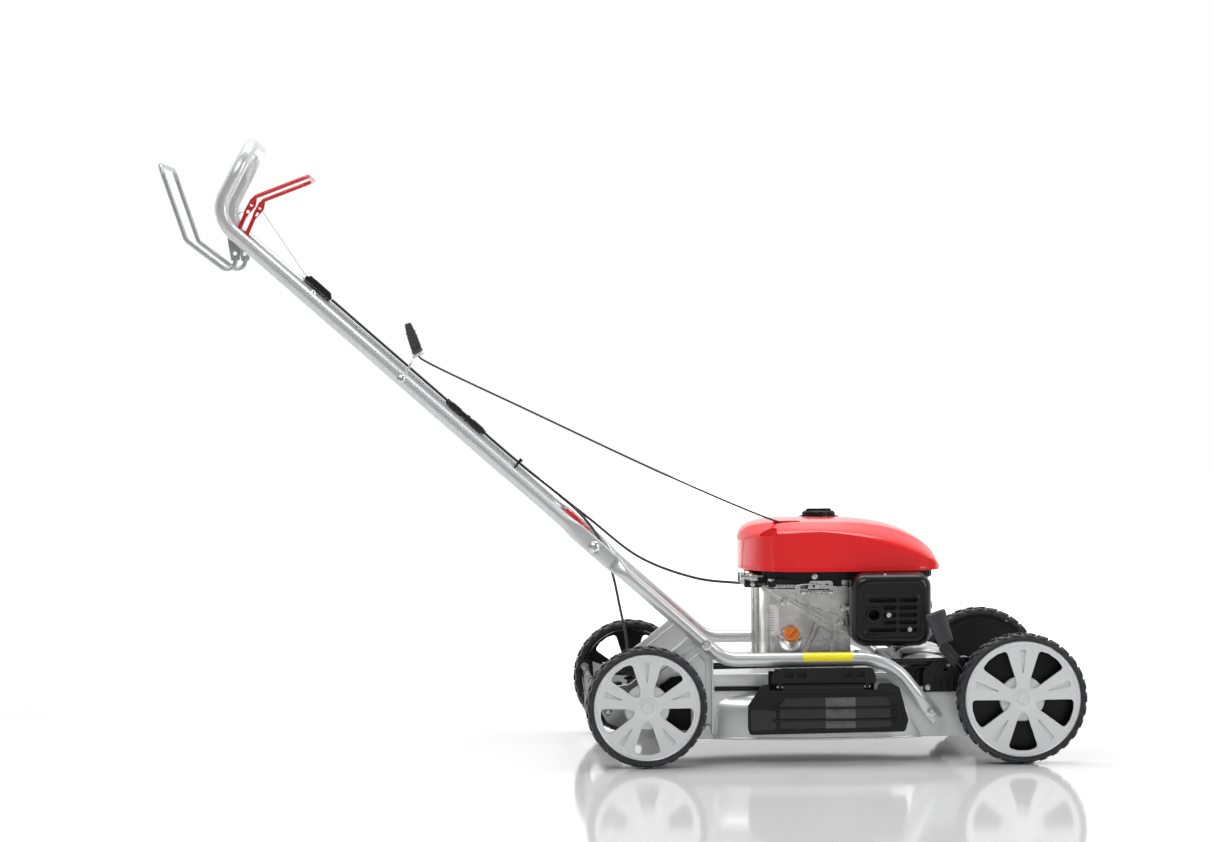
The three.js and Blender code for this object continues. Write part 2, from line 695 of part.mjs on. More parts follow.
function driveBelt() {
  const distance = CRANK_X - GEARBOX_X;
  const loop = (extra) => {
    const big = GEARBOX_GROOVE + extra;
    const small = CRANK_GROOVE + extra;
    const lean = THREE.MathUtils.radToDeg(Math.acos((big - small) / distance));
    return [
      ...arc(CRANK_X, 0, small, -lean, lean, 8),
      ...arc(GEARBOX_X, 0, big, lean, 360 - lean, 8),
    ];
  };
  return cut(
    plateZ(loop(0.5 + BELT_THICK), ...BELT_Z),
    plateZ(loop(0.5), beltLow - 2, beltHigh + 2),
  );
}
add("drive_belt", driveBelt(), blackRubber);

// ---- engine, in a group on the crankshaft's axis ----
const engine = new THREE.Group();
engine.position.set(CRANK_X, 0, 0);
mower.add(engine);

const SEAL_R = 14;
const CASE_BOTTOM = DECK_TOP + CLEAR;
const CASE_TOP = 302;
const CASE_HALF = 95;
const OIL_NECK = [-27, -94, 194];
// Points along the oil filler, which leans out from the crankcase's right-hand side.
const alongNeck = (distance) =>
  new THREE.Vector3(OIL_NECK[0], OIL_NECK[1] - 0.8 * distance, OIL_NECK[2] + 0.6 * distance);
const neckRod = (radius, from, to, sides) => sweep([alongNeck(from), alongNeck(to)], radius, sides);

function crankcase() {
  const body = [
    [-58, -CASE_HALF], [77, -CASE_HALF], [77, CASE_HALF], [-58, CASE_HALF], [-78, 70], [-78, -70],
  ];
  return cut(
    join(
      plateZ(body, CASE_BOTTOM, CASE_TOP),
      plateZ(roundedRect(-86, 82, -106, 106, 18), CASE_BOTTOM, CASE_BOTTOM + 8),
      neckRod(12, -4, 17, 10),
    ),
    box(-66, 66, -82, 82, CASE_BOTTOM + 12, CASE_TOP - 12),
    rodZ(0, 0, SEAL_R + CLEAR, CASE_BOTTOM - 5, CASE_TOP + 5),
  );
}
add("crankcase", crankcase(), castAluminium, engine);

function oilPlug() {
  const grip = sweep([alongNeck(25), alongNeck(35)], 7, 6);
  return join(neckRod(17, 17 + CLEAR, 26, 12), grip);
}
add("oil_plug", oilPlug(), orangePlastic, engine);

function cylinder() {
  const core = box(77 + CLEAR, 180, -46, 46, 208, 286);
  const fins = [0, 1, 2, 3, 4, 5, 6].map((i) => box(84 + 14 * i, 88 + 14 * i, -62, 62, 192, 298));
  return join(core, ...fins, box(176, 190, -56, 56, 200, 292));
}
add("cylinder", cylinder(), castAluminium, engine);

function sparkPlug() {
  return join(rodX(0, 246, 9, 190 + CLEAR, 202, 6), rodX(0, 246, 6, 200, 226, 10), rodX(0, 246, 9, 212, 228, 10));
}
add("spark_plug", sparkPlug(), blackPlastic, engine);

// Rounded plan of the blower cover: a half ellipse behind the crankshaft and a narrowing nose.
const COVER_BACK = 109;
const COVER_HALF = 128;
const COVER_NOSE = 231;
const coverBack = arc(0, 0, 1, 90, 270, 12).map(([c, s]) => [COVER_BACK * c, COVER_HALF * s]);
const COVER_PLAN = [
  ...coverBack, [112, -126], [196, -112], [222, -98], [COVER_NOSE, -74], [COVER_NOSE, 74], [222, 98], [196, 112], [112, 126],
];
const COVER_SIDE = [
  [-COVER_BACK, COVER_BOTTOM], [COVER_NOSE, COVER_BOTTOM], [COVER_NOSE - 3, 338], [202, 360], [152, 383],
  [90, 396], [-68, 397], [-92, 390], [-COVER_BACK, 372],
];
const TANK_NECK = [40, 88];
function engineCover() {
  const outer = common(plateY(COVER_SIDE, -140, 140), plateZ(COVER_PLAN, 300, 420));
  const under = inset(COVER_SIDE, SHEET).map(([x, z]) => [x, z < COVER_BOTTOM + SHEET + 1 ? COVER_BOTTOM - 9 : z]);
  const inner = common(plateY(under, -140, 140), plateZ(inset(COVER_PLAN, SHEET), 290, 420));
  return cut(outer, inner, rodZ(...TANK_NECK, 31.5, 380, 420, 24), box(-56, -8, -74, -56, 380, 420));
}
add("engine_cover", engineCover(), redPlastic, engine);

function blowerBase() {
  return cut(plateZ(inset(COVER_PLAN, 11), CASE_TOP + CLEAR, COVER_BOTTOM - 0.5), rodZ(0, 0, 13, 290, 330));
}
add("blower_base", blowerBase(), blackPlastic, engine);

function fuelTank() {
  return join(
    box(80, 200, -84, 84, COVER_BOTTOM + 3, 345),
    box(24, 84, 80, 108, COVER_BOTTOM + 3, 378),
    rodZ(...TANK_NECK, 17, 340, 392, 12),
  );
}
add("fuel_tank", fuelTank(), blackPlastic, engine);

function fuelCap() {
  return join(rodZ(...TANK_NECK, 29, 392 + CLEAR, 407, 20), box(TANK_NECK[0] - 24, TANK_NECK[0] + 24, 84, 92, 405, 411));
}
add("fuel_cap", fuelCap(), blackPlastic, engine);

function starterHousing() {
  return turnedZ([[0, 356], [6, 356], [6, 378], [73, 378], [73, 349], [76, 349], [76, 381], [0, 381]], 0, 0);
}
add("starter_housing", starterHousing(), blackPlastic, engine);

const STARTER_DRUM_R = 45;
function starterPulley() {
  const profile = [
    [6 + CLEAR, 357], [50, 357], [50, 360], [STARTER_DRUM_R, 361], [STARTER_DRUM_R, 369], [50, 370], [50, 373],
    [6 + CLEAR, 373],
  ];
  return turnedZ(closed(profile), 0, 0, 16);
}
add("starter_pulley", starterPulley(), blackPlastic, engine);

const MUFFLER_PORT = [108, 245];
function muffler() {
  const shell = cut(box(84, 194, -160, -112, 205, 298), box(86, 192, -158, -114, 207, 296));
  return cut(join(shell, rodY(152, 250, 11, -62 - CLEAR, -113)), rodY(...MUFFLER_PORT, 8, -170, -140, 12));
}
add("muffler", muffler(), darkSteel, engine);

function mufflerGuard() {
  const shell = cut(
    plateY(roundedRect(71, 207, 190, 314, 24), -176, -119),
    plateY(roundedRect(74, 204, 193, 311, 21), -173, -110),
  );
  const slots = [132, 166].flatMap((x) => [0, 1, 2, 3, 4].map((i) => box(x, x + 26, -180, -165, 212 + 16 * i, 219 + 16 * i)));
  return cut(shell, ...slots, rodY(...MUFFLER_PORT, 13, -180, -165, 12));
}
add("muffler_guard", mufflerGuard(), blackPlastic, engine);

function airFilter() {
  return join(
    plateY(roundedRect(-20, 112, 222, 312, 14), 130, 176),
    box(12, 62, CASE_HALF + CLEAR, 132, 240, 292),
  );
}
add("air_filter", airFilter(), blackPlastic, engine);

const BRAKE_PIVOT = [-52, -107];
function controlPlate() {
  return join(
    box(-66, 44, -118, -CASE_HALF - CLEAR, 283, 286),
    box(0, 44, -118, -116, 283, 299),
    rodZ(...BRAKE_PIVOT, 2.5, 284, 296, 10),
  );
}
add("control_plate", controlPlate(), zinc, engine);

function brakeLever() {
  const lever = plateZ(barOutline(BRAKE_PIVOT, [-14, -105], 5), 286 + CLEAR, 290);
  return cut(lever, rodZ(...BRAKE_PIVOT, 2.8, 280, 300, 10));
}
add("brake_lever", brakeLever(), zinc, engine);

// ---- crankshaft and what turns with it ----
const SHAFT_END = 62;
function crankshaft() {
  const profile = [
    [0, 76], [5.3, 76], [5.3, 54.3], [30, 54.3], [30, SHAFT_END], [11, SHAFT_END], [11, 149], [SEAL_R, 149],
    [SEAL_R, 205], [50, 205], [50, 235], [SEAL_R, 235], [SEAL_R, CASE_TOP], [10, CASE_TOP], [10, 345.3],
    [15, 345.3], [15, 352], [0, 352],
  ];
  return turnedZ(profile, 0, 0, 16);
}
add("crankshaft", crankshaft(), darkSteel, engine);

function flywheel() {
  const fins = Array.from({ length: 10 }, (_, i) => box(44, 69, -2, 2, 324, 343).rotateZ((i * Math.PI) / 5));
  const disc = turnedZ(closed([[10.3, 318], [70, 318], [70, 325], [22, 325], [22, 345], [10.3, 345]]), 0, 0);
  return join(disc, ...fins);
}
add("flywheel", flywheel(), castAluminium, engine);

add("drive_pulley", turnedZ(closed(grooved(CRANK_GROOVE, 11.4)), 0, 0, 16), darkSteel, engine);

function blade() {
  const half = 27;
  const bar = plateZ([[-BLADE_R, -half], [BLADE_R - 14, -half], [BLADE_R, half], [14 - BLADE_R, half]], 50, 54);
  const wing = plateY([[-BLADE_R + 10, 50], [-BLADE_R + 60, 50], [-BLADE_R + 60, 64], [-BLADE_R + 18, 68]], 20, 24);
  const otherWing = wing.clone().rotateZ(Math.PI);
  return cut(join(bar, wing, otherWing), rodZ(0, 0, 5.3, 40, 60, 12));
}
add("blade", blade(), darkSteel, engine);

add("blade_bolt", join(rodZ(0, 0, 5, 48, 75, 12), rodZ(0, 0, 11, 42, 49.7, 6)), zinc, engine);

export default mower;
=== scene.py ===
# A walk-behind lawn mower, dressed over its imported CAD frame.
# Shapes are written in millimetres in the CAD's frame: +X forward, +Y to the operator's left, +Z up.
from math import acos, atan2, cos, degrees, hypot, pi, radians, sin, tan

import bmesh
import bpy
from mathutils import Matrix, Vector
from mathutils.geometry import tessellate_polygon


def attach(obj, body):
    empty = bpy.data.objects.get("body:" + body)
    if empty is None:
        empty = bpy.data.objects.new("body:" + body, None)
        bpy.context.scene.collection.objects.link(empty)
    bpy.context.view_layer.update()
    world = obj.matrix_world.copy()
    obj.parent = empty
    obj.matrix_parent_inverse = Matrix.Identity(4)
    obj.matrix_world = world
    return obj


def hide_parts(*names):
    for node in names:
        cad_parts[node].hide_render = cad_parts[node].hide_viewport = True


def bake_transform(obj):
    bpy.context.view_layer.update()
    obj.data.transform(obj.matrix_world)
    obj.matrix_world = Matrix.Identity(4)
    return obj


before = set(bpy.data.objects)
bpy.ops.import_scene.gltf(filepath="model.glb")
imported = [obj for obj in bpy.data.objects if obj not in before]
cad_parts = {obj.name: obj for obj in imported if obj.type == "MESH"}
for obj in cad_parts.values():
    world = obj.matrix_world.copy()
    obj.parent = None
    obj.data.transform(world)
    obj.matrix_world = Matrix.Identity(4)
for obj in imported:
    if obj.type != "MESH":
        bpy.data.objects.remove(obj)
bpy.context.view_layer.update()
MM = 0.001
ALMOST_STRAIGHT = 0.02

# ---------------------------------------------------------------- mesh tools


def new_object(name, bm):
    mesh = bpy.data.meshes.new(name)
    bmesh.ops.recalc_face_normals(bm, faces=bm.faces)
    bm.to_mesh(mesh)
    bm.free()
    obj = bpy.data.objects.new(name, mesh)
    bpy.context.scene.collection.objects.link(obj)
    return obj


def make(name, verts, faces):
    """A mesh from points in millimetres."""
    bm = bmesh.new()
    made = [bm.verts.new(Vector(v) * MM) for v in verts]
    for face in faces:
        bm.faces.new([made[i] for i in face])
    return new_object(name, bm)


def soften(obj, width, segments=2, angle=35):
    """Rounds the edges sharper than angle."""
    bm = bmesh.new()
    bm.from_mesh(obj.data)
    edges = [e for e in bm.edges if len(e.link_faces) == 2 and e.calc_face_angle(0) > radians(angle)]
    bmesh.ops.bevel(
        bm, geom=edges, offset=width * MM, segments=segments, profile=0.5, affect="EDGES",
        clamp_overlap=True,
    )
    bm.to_mesh(obj.data)
    bm.free()
    return obj


def join(name, *parts):
    """One mesh from several, keeping their materials."""
    bm = bmesh.new()
    slots = []
    for part in parts:
        for material in part.data.materials:
            if material not in slots:
                slots.append(material)
        here = [slots.index(m) for m in part.data.materials] or [0]
        start = len(bm.faces)
        bm.from_mesh(part.data)
        bm.faces.ensure_lookup_table()
        for face in bm.faces[start:]:
            face.material_index = here[min(face.material_index, len(here) - 1)]
        bpy.data.objects.remove(part)
    mesh = bpy.data.meshes.new(name)
    bm.to_mesh(mesh)
    bm.free()
    for material in slots:
        mesh.materials.append(material)
    obj = bpy.data.objects.new(name, mesh)
    bpy.context.scene.collection.objects.link(obj)
    return obj


def apply_modifiers(obj):
    graph = bpy.context.evaluated_depsgraph_get()
    mesh = bpy.data.meshes.new_from_object(obj.evaluated_get(graph))
    obj.modifiers.clear()
    obj.data = mesh
    return obj


def combine(obj, tool, operation="DIFFERENCE"):
    modifier = obj.modifiers.new("combine", "BOOLEAN")
    modifier.operation = operation
    modifier.solver = "EXACT"
    modifier.object = tool
    apply_modifiers(obj)
    bpy.data.objects.remove(tool)
    return obj


def carve(obj, *tools):
    for tool in tools:
        combine(obj, tool)
    return obj


def tint(obj, material):
    obj.data.materials.clear()
    obj.data.materials.append(material)
    return obj


def moved(obj, matrix):
    obj.data.transform(matrix)
    return obj


def mirrored(obj, name):
    """A copy on the other side of the centre plane."""
    twin = bpy.data.objects.new(name, obj.data.copy())
    twin.data.transform(Matrix.Scale(-1, 4, (0, 1, 0)))
    twin.data.flip_normals()
    bpy.context.scene.collection.objects.link(twin)
    return twin


def tinted(material, *parts):
    return [tint(part, material) for part in parts]


def done(obj, body, slot, *nodes, sharp=38):
    """Shades a finished piece, fixes it to its body and hides the CAD nodes it stands for."""
    obj.data.shade_smooth()
    obj.data.set_sharp_from_angle(angle=radians(sharp))
    weigh = obj.modifiers.new("normals", "WEIGHTED_NORMAL")
    weigh.keep_sharp = True
    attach(obj, body)
    if nodes:
        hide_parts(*nodes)
    return obj


def soft(obj, first, second, start, end, slot, *nodes):
    """Shades a piece that runs between two bodies, bakes its transform and hides its CAD nodes. The bodies
    first and second, and start and end in millimetres, are not used.
    """
    obj.data.shade_smooth()
    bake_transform(obj)
    if nodes:
        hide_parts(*nodes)


def polar(radius, angle, x=0, y=0):
    return (x + radius * cos(radians(angle)), y + radius * sin(radians(angle)))


def turned(points, angle, x, y):
    """Points turned by angle in radians about the origin, then moved to (x, y)."""
    return [(x + u * cos(angle) - v * sin(angle), y + u * sin(angle) + v * cos(angle)) for u, v in points]


def arc(x, y, radius, start, end, steps):
    angles = [radians(start + (end - start) * i / steps) for i in range(steps + 1)]
    return [(x + radius * cos(a), y + radius * sin(a)) for a in angles]


def rounded_box(x0, x1, z0, z1, r, steps=6):
    return [
        *arc(x1 - r, z0 + r, r, -90, 0, steps), *arc(x1 - r, z1 - r, r, 0, 90, steps),
        *arc(x0 + r, z1 - r, r, 90, 180, steps), *arc(x0 + r, z0 + r, r, 180, 270, steps),
    ]


def corner_arc(before, corner, after, radius, steps):
    """The points of an arc that rounds a corner."""
    back = (before - corner).normalized()
    on = (after - corner).normalized()
    half = back.angle(on) / 2
    centre = corner + (back + on).normalized() * (radius / sin(half))
    start = corner + back * (radius / tan(half)) - centre
    end = corner + on * (radius / tan(half)) - centre
    turn = start.angle(end)
    out = []
    for k in range(steps + 1):
        share = k / steps
        out.append((start * sin((1 - share) * turn) + end * sin(share * turn)) / sin(turn) + centre)
    return out


def filleted(corners, radius, steps=5):
    """A closed outline with its corners rounded, by one radius or by a list with one for each.
    A corner that is almost straight stays a single point."""
    points = [Vector(c) for c in corners]
    radii = radius if isinstance(radius, list) else [radius] * len(points)
    out = []
    for before, corner, after, r in zip(points[-1:] + points, points, points[1:] + points[:1], radii):
        half = (before - corner).angle(after - corner) / 2
        if r == 0 or abs(half - pi / 2) < ALMOST_STRAIGHT:
            out.append(tuple(corner))
        else:
            out += [tuple(p) for p in corner_arc(before, corner, after, r, steps)]
    return out


def bar(start, end, radius, steps=8):
    """The outline of a bar with round ends."""
    along = degrees(atan2(end[1] - start[1], end[0] - start[0]))
    return [
        *arc(*end, radius, along - 90, along + 90, steps),
        *arc(*start, radius, along + 90, along + 270, steps),
    ]


PLANES = {"XZ": lambda u, v, w: (u, w, v), "XY": lambda u, v, w: (u, v, w), "YZ": lambda u, v, w: (w, u, v)}


def plate(name, outline, w0, w1, plane="XZ", holes=(), bevel=0.5, segments=2):
    """A flat plate between w0 and w1 on the axis across its plane."""
    place = PLANES[plane]
    loops = [outline, *holes]
    flat = [p for loop in loops for p in loop]
    count = len(flat)
    verts = [place(u, v, w) for w in (w0, w1) for u, v in flat]
    if holes:
        caps = tessellate_polygon([[Vector((u, v, 0)) for u, v in loop] for loop in loops])
    else:
        caps = [tuple(range(count))]
    faces = [tuple(cap) for cap in caps] + [tuple(i + count for i in reversed(cap)) for cap in caps]
    start = 0
    for loop in loops:
        n = len(loop)
        faces += [
            (start + i, start + (i + 1) % n, start + (i + 1) % n + count, start + i + count)
            for i in range(n)
        ]
        start += n
    obj = make(name, verts, faces)
    return soften(obj, bevel, segments) if bevel else obj


def block(name, x0, x1, y0, y1, z0, z1, bevel=1.0, segments=2):
    return plate(name, [(x0, z0), (x1, z0), (x1, z1), (x0, z1)], y0, y1, bevel=bevel, segments=segments)


def lathe(name, profile, centre=(0, 0, 0), axis="Y", steps=48, ring=False):
    """A turned piece from (radius, height) points. A ring's profile closes on itself."""
    cx, cy, cz = centre
    place = {
        "X": lambda c, s, h: (cx + h, cy + c, cz + s), "Y": lambda c, s, h: (cx + c, cy + h, cz + s),
        "Z": lambda c, s, h: (cx + c, cy + s, cz + h),
    }[axis]
    verts = []
    rows = []
    for r, h in profile:
        if r == 0:
            verts.append(place(0, 0, h))
            rows.append([len(verts) - 1] * steps)
        else:
            rows.append(list(range(len(verts), len(verts) + steps)))
            verts += [
                place(r * cos(2 * pi * k / steps), r * sin(2 * pi * k / steps), h)
                for k in range(steps)
            ]
    pairs = list(zip(rows, rows[1:]))
    if ring:
        pairs.append((rows[-1], rows[0]))
    faces = []
    for a, b in pairs:
        for k in range(steps):
            face = [a[k], a[(k + 1) % steps], b[(k + 1) % steps], b[k]]
            faces.append(tuple(dict.fromkeys(face)))
    return make(name, verts, [f for f in faces if len(f) > 2])


def rounded_route(corners, radii, steps=8):
    """A route along straight runs with arcs at its inner corners."""
    points = [Vector(c) for c in corners]
    radii = radii if isinstance(radii, list) else [radii] * (len(points) - 2)
    out = [points[0]]
    for before, corner, after, r in zip(points, points[1:], points[2:], radii):
        out += corner_arc(before, corner, after, r, steps)
    return [*out, points[-1]]


def smooth_route(points, count):
    """Evenly spaced points on a smooth curve through the given ones."""
    p = [Vector(v) for v in points]
    p = [p[0] * 2 - p[1], *p, p[-1] * 2 - p[-2]]
    fine = []
    for a, b, c, d in zip(p, p[1:], p[2:], p[3:]):
        t1 = (b - a).length ** 0.5
        t2 = t1 + (c - b).length ** 0.5
        t3 = t2 + (d - c).length ** 0.5
        for k in range(24):
            t = t1 + (t2 - t1) * k / 24
            ab = a * ((t1 - t) / t1) + b * (t / t1)
            bc = b * ((t2 - t) / (t2 - t1)) + c * ((t - t1) / (t2 - t1))
            cd = c * ((t3 - t) / (t3 - t2)) + d * ((t - t2) / (t3 - t2))
            abc = ab * ((t2 - t) / t2) + bc * (t / t2)
            bcd = bc * ((t3 - t) / (t3 - t1)) + cd * ((t - t1) / (t3 - t1))
            fine.append(abc * ((t2 - t) / (t2 - t1)) + bcd * ((t - t1) / (t2 - t1)))
    fine.append(p[-2])
    return resampled(fine, count)


def resampled(points, count):
    lengths = [0]
    for a, b in zip(points, points[1:]):
        lengths.append(lengths[-1] + (b - a).length)
    out = []
    i = 0
    for k in range(count + 1):
        target = lengths[-1] * k / count
        while i < len(points) - 2 and lengths[i + 1] < target:
            i += 1
        span = lengths[i + 1] - lengths[i]
        out.append(points[i].lerp(points[i + 1], (target - lengths[i]) / span if span else 0))
    return out


def sweep(name, points, section, first=None):
    """A solid along a route. section(i, far) gives the outline there, far being the distance so far."""
    points = [Vector(p) for p in points]
    steps = [(b - a).normalized() for a, b in zip(points, points[1:])]
    tangents = [(a + b).normalized() for a, b in zip([steps[0], *steps], [*steps, steps[-1]])]
    side = Vector(first) if first else tangents[0].orthogonal()
    verts = []
    sides = 0
    far = 0.0
    for i, (point, tangent) in enumerate(zip(points, tangents)):
        if i:
            side = tangents[i - 1].rotation_difference(tangent) @ side
            far += (point - points[i - 1]).length
        side = (side - tangent * side.dot(tangent)).normalized()
        other = tangent.cross(side)
        outline = section(i, far)
        sides = len(outline)
        verts += [point + side * a + other * b for a, b in outline]
    faces = [tuple(range(sides)), tuple(reversed(range(len(verts) - sides, len(verts))))]
    for i in range(len(points) - 1):
        for k in range(sides):
            a, b = i * sides + k, i * sides + (k + 1) % sides
            faces.append((a, b, b + sides, a + sides))
    return make(name, verts, faces)


def circle(radius, sides):
    return [(radius * cos(2 * pi * k / sides), radius * sin(2 * pi * k / sides)) for k in range(sides)]


def rod(name, points, radius, sides=20):
    outline = circle(radius, sides)
    return sweep(name, points, lambda i, far: outline)


def pin(name, start, end, radius, sides=24, bevel=0.4):
    return soften(rod(name, [start, end], radius, sides), bevel, 2, 50)


def ease(t):
    t = min(max(t, 0.0), 1.0)
    return t * t * (3 - 2 * t)


def lookup(table, x):
    """Straight-line reading of a table of (x, value)."""
    if x <= table[0][0]:
        return table[0][1]
    for (x0, v0), (x1, v1) in zip(table, table[1:]):
        if x <= x1:
            return v0 + (v1 - v0) * (x - x0) / (x1 - x0)
    return table[-1][1]


def bolt(name, at, direction, size=5.0, material=None, flange=True, socket=False):
    """A hexagon flange bolt head, or a domed socket head, standing on at."""
    profile = [
        (0, 0), (size * 1.35, 0), (size * 1.35, size * 0.16), (size, size * 0.3),
    ] if flange else [(0, 0)]
    parts = []
    if socket:
        dome = [
            (0, 0), (size * 1.5, 0), (size * 1.5, size * 0.25), (size * 1.25, size * 0.55),
            (size * 0.62, size * 0.72),
        ]
        parts.append(lathe(name, [*dome, (size * 0.55, size * 0.35), (0, size * 0.35)], axis="Z", steps=30))
    else:
        parts.append(lathe(name, [*profile, (0, size * 0.3)], axis="Z", steps=30))
        head = plate(name + "_hex", circle(size, 6), size * 0.1, size * 0.95, "XY", bevel=size * 0.1)
        parts.append(head)
        parts.append(
            lathe(
                name + "_top",
                [(0, size * 0.9), (size * 0.72, size * 0.9), (size * 0.6, size * 1.02), (0, size * 1.02)],
                axis="Z", steps=24,
            )
        )
    head = join(name, *parts)
    turn = Vector((0, 0, 1)).rotation_difference(Vector(direction)).to_matrix().to_4x4()
    moved(head, Matrix.Translation(Vector(at) * MM) @ turn)
    return tint(head, material or ZINC)


# ---------------------------------------------------------------- materials


def surface(name, color, rough, metal=0.0, coat=0.0, grain=None, mottle=None, ior=1.5):
    """A principled surface. grain is (scale, strength, depth in mm) of its bump, and mottle is
    (scale, second colour, lowest roughness, highest roughness) of its slow variation."""
    material = bpy.data.materials.new(name)
    material.use_nodes = True
    nodes, links = material.node_tree.nodes, material.node_tree.links
    shader = nodes["Principled BSDF"]
    shader.inputs["Base Color"].default_value = (*color, 1)
    shader.inputs["Roughness"].default_value = rough
    shader.inputs["Metallic"].default_value = metal
    shader.inputs["Coat Weight"].default_value = coat
    shader.inputs["Coat Roughness"].default_value = 0.06
    shader.inputs["IOR"].default_value = ior
    place = nodes.new("ShaderNodeTexCoord")
    if mottle:
        scale, second, low, high = mottle
        noise = nodes.new("ShaderNodeTexNoise")
        noise.inputs["Scale"].default_value = scale
        noise.inputs["Detail"].default_value = 5
        noise.inputs["Roughness"].default_value = 0.6
        links.new(place.outputs["Object"], noise.inputs["Vector"])
        ramp = nodes.new("ShaderNodeValToRGB")
        first, last = ramp.color_ramp.elements
        first.position, last.position = 0.35, 0.65
        first.color, last.color = (*color, 1), (*second, 1)
        links.new(noise.outputs["Fac"], ramp.inputs["Fac"])
        links.new(ramp.outputs["Color"], shader.inputs["Base Color"])
        spread = nodes.new("ShaderNodeMapRange")
        spread.inputs["From Min"].default_value = 0.3
        spread.inputs["From Max"].default_value = 0.7
        spread.inputs["To Min"].default_value = low
        spread.inputs["To Max"].default_value = high
        links.new(noise.outputs["Fac"], spread.inputs["Value"])
        links.new(spread.outputs["Result"], shader.inputs["Roughness"])
    if grain:
        scale, strength, depth = grain
        fine = nodes.new("ShaderNodeTexNoise")
        fine.inputs["Scale"].default_value = scale
        fine.inputs["Detail"].default_value = 3
        links.new(place.outputs["Object"], fine.inputs["Vector"])
        bump = nodes.new("ShaderNodeBump")
        bump.inputs["Strength"].default_value = strength
        bump.inputs["Distance"].default_value = depth * MM
        links.new(fine.outputs["Fac"], bump.inputs["Height"])
        links.new(bump.outputs["Normal"], shader.inputs["Normal"])
    return material


SILVER = surface(
    "silver_paint", (0.74, 0.745, 0.75), 0.3, 0.5, 0.15, None, (9, (0.71, 0.715, 0.72), 0.28, 0.33),
)
TUBE = surface(
    "tube_paint", (0.66, 0.67, 0.675), 0.3, 0.55, 0.2, None, (14, (0.63, 0.64, 0.645), 0.27, 0.33),
)
ZINC = surface("zinc_plate", (0.70, 0.71, 0.71), 0.26, 0.9, 0, None, (60, (0.62, 0.63, 0.63), 0.2, 0.34))
WIRE = surface(
    "wire_paint", (0.44, 0.45, 0.455), 0.34, 0.6, 0.1, None, (30, (0.40, 0.41, 0.415), 0.3, 0.38),
)
STEEL = surface(
    "dark_steel", (0.13, 0.13, 0.14), 0.4, 0.9, 0, (500, 0.15, 0.08), (40, (0.09, 0.09, 0.10), 0.34, 0.5),
)
# The large darker patches of the second colour are partly the casting's uneven tone and partly painted
# reflection. They stand in for the dark bands that the bright metal mirrors.
CAST = surface(
    "cast_aluminium", (0.86, 0.86, 0.85), 0.24, 0.95, 0, (40, 0.25, 1.0),
    (15, (0.50, 0.50, 0.49), 0.18, 0.34),
)
RED = surface(
    "red_cover", (0.86, 0.010, 0.014), 0.2, 0.0, 0.35, (260, 0.03, 0.05),
    (9, (0.82, 0.009, 0.012), 0.17, 0.24),
)
RED_PAINT = surface(
    "red_paint", (0.60, 0.012, 0.016), 0.32, 0.1, 0.2, (1000, 0.06, 0.04),
    (40, (0.52, 0.01, 0.014), 0.28, 0.38),
)
BLACK = surface(
    "black_plastic", (0.007, 0.007, 0.008), 0.38, 0.0, 0.0, (500, 0.1, 0.06),
    (22, (0.010, 0.010, 0.011), 0.32, 0.44), 1.36,
)
GLOSS_BLACK = surface(
    "black_gloss", (0.006, 0.006, 0.007), 0.12, 0.0, 0.3, (300, 0.03, 0.03),
    (20, (0.009, 0.009, 0.010), 0.10, 0.16),
)
GRIP = surface(
    "grip_plastic", (0.035, 0.035, 0.038), 0.44, 0.0, 0.0, (500, 0.2, 0.08),
    (25, (0.046, 0.046, 0.05), 0.40, 0.50),
)
# This pane's lighter grey is a painted reflection: it stands in for the glare on the flap's glossy window.
PAINTED_REFLECTION = surface("painted_reflection_pane", (0.14, 0.14, 0.145), 0.2, 0.2, 0.3, None, (40, (0.09, 0.09, 0.093), 0.16, 0.24))
BLACK_PAINT = surface(
    "black_paint", (0.007, 0.007, 0.008), 0.30, 0.1, 0.1, (500, 0.05, 0.05),
    (18, (0.010, 0.010, 0.011), 0.26, 0.34), 1.4,
)
RUBBER = surface(
    "cable_rubber", (0.012, 0.012, 0.013), 0.42, 0.0, 0.0, (900, 0.1, 0.05),
    (40, (0.018, 0.018, 0.019), 0.38, 0.5),
)
TYRE = surface(
    "tyre_rubber", (0.016, 0.016, 0.018), 0.5, 0.0, 0.0, (700, 0.3, 0.12),
    (30, (0.028, 0.028, 0.032), 0.44, 0.6),
)
RIM = surface(
    "rim_silver", (0.72, 0.725, 0.73), 0.36, 0.25, 0.1, None, (8, (0.69, 0.695, 0.70), 0.33, 0.39),
)
ORANGE = surface(
    "orange_plastic", (0.86, 0.25, 0.015), 0.3, 0.0, 0.2, (500, 0.1, 0.04),
    (40, (0.78, 0.20, 0.01), 0.25, 0.36),
)
YELLOW = surface(
    "yellow_sticker", (0.92, 0.78, 0.01), 0.32, 0.0, 0.2, (400, 0.05, 0.03),
    (30, (0.88, 0.73, 0.01), 0.28, 0.38),
)
PAPER = surface(
    "white_label", (0.80, 0.80, 0.79), 0.45, 0.0, 0.1, (300, 0.05, 0.03),
    (30, (0.72, 0.72, 0.71), 0.4, 0.5),
)
RED_LABEL = surface(
    "red_label", (0.85, 0.09, 0.09), 0.28, 0.0, 0.4, (300, 0.03, 0.03),
    (20, (0.80, 0.08, 0.08), 0.24, 0.34),
)
INK = surface(
    "ink", (0.05, 0.05, 0.05), 0.5, 0.0, 0.0, (300, 0.05, 0.03), (30, (0.07, 0.07, 0.07), 0.45, 0.55),
)

# ---------------------------------------------------------------- stage, light and camera


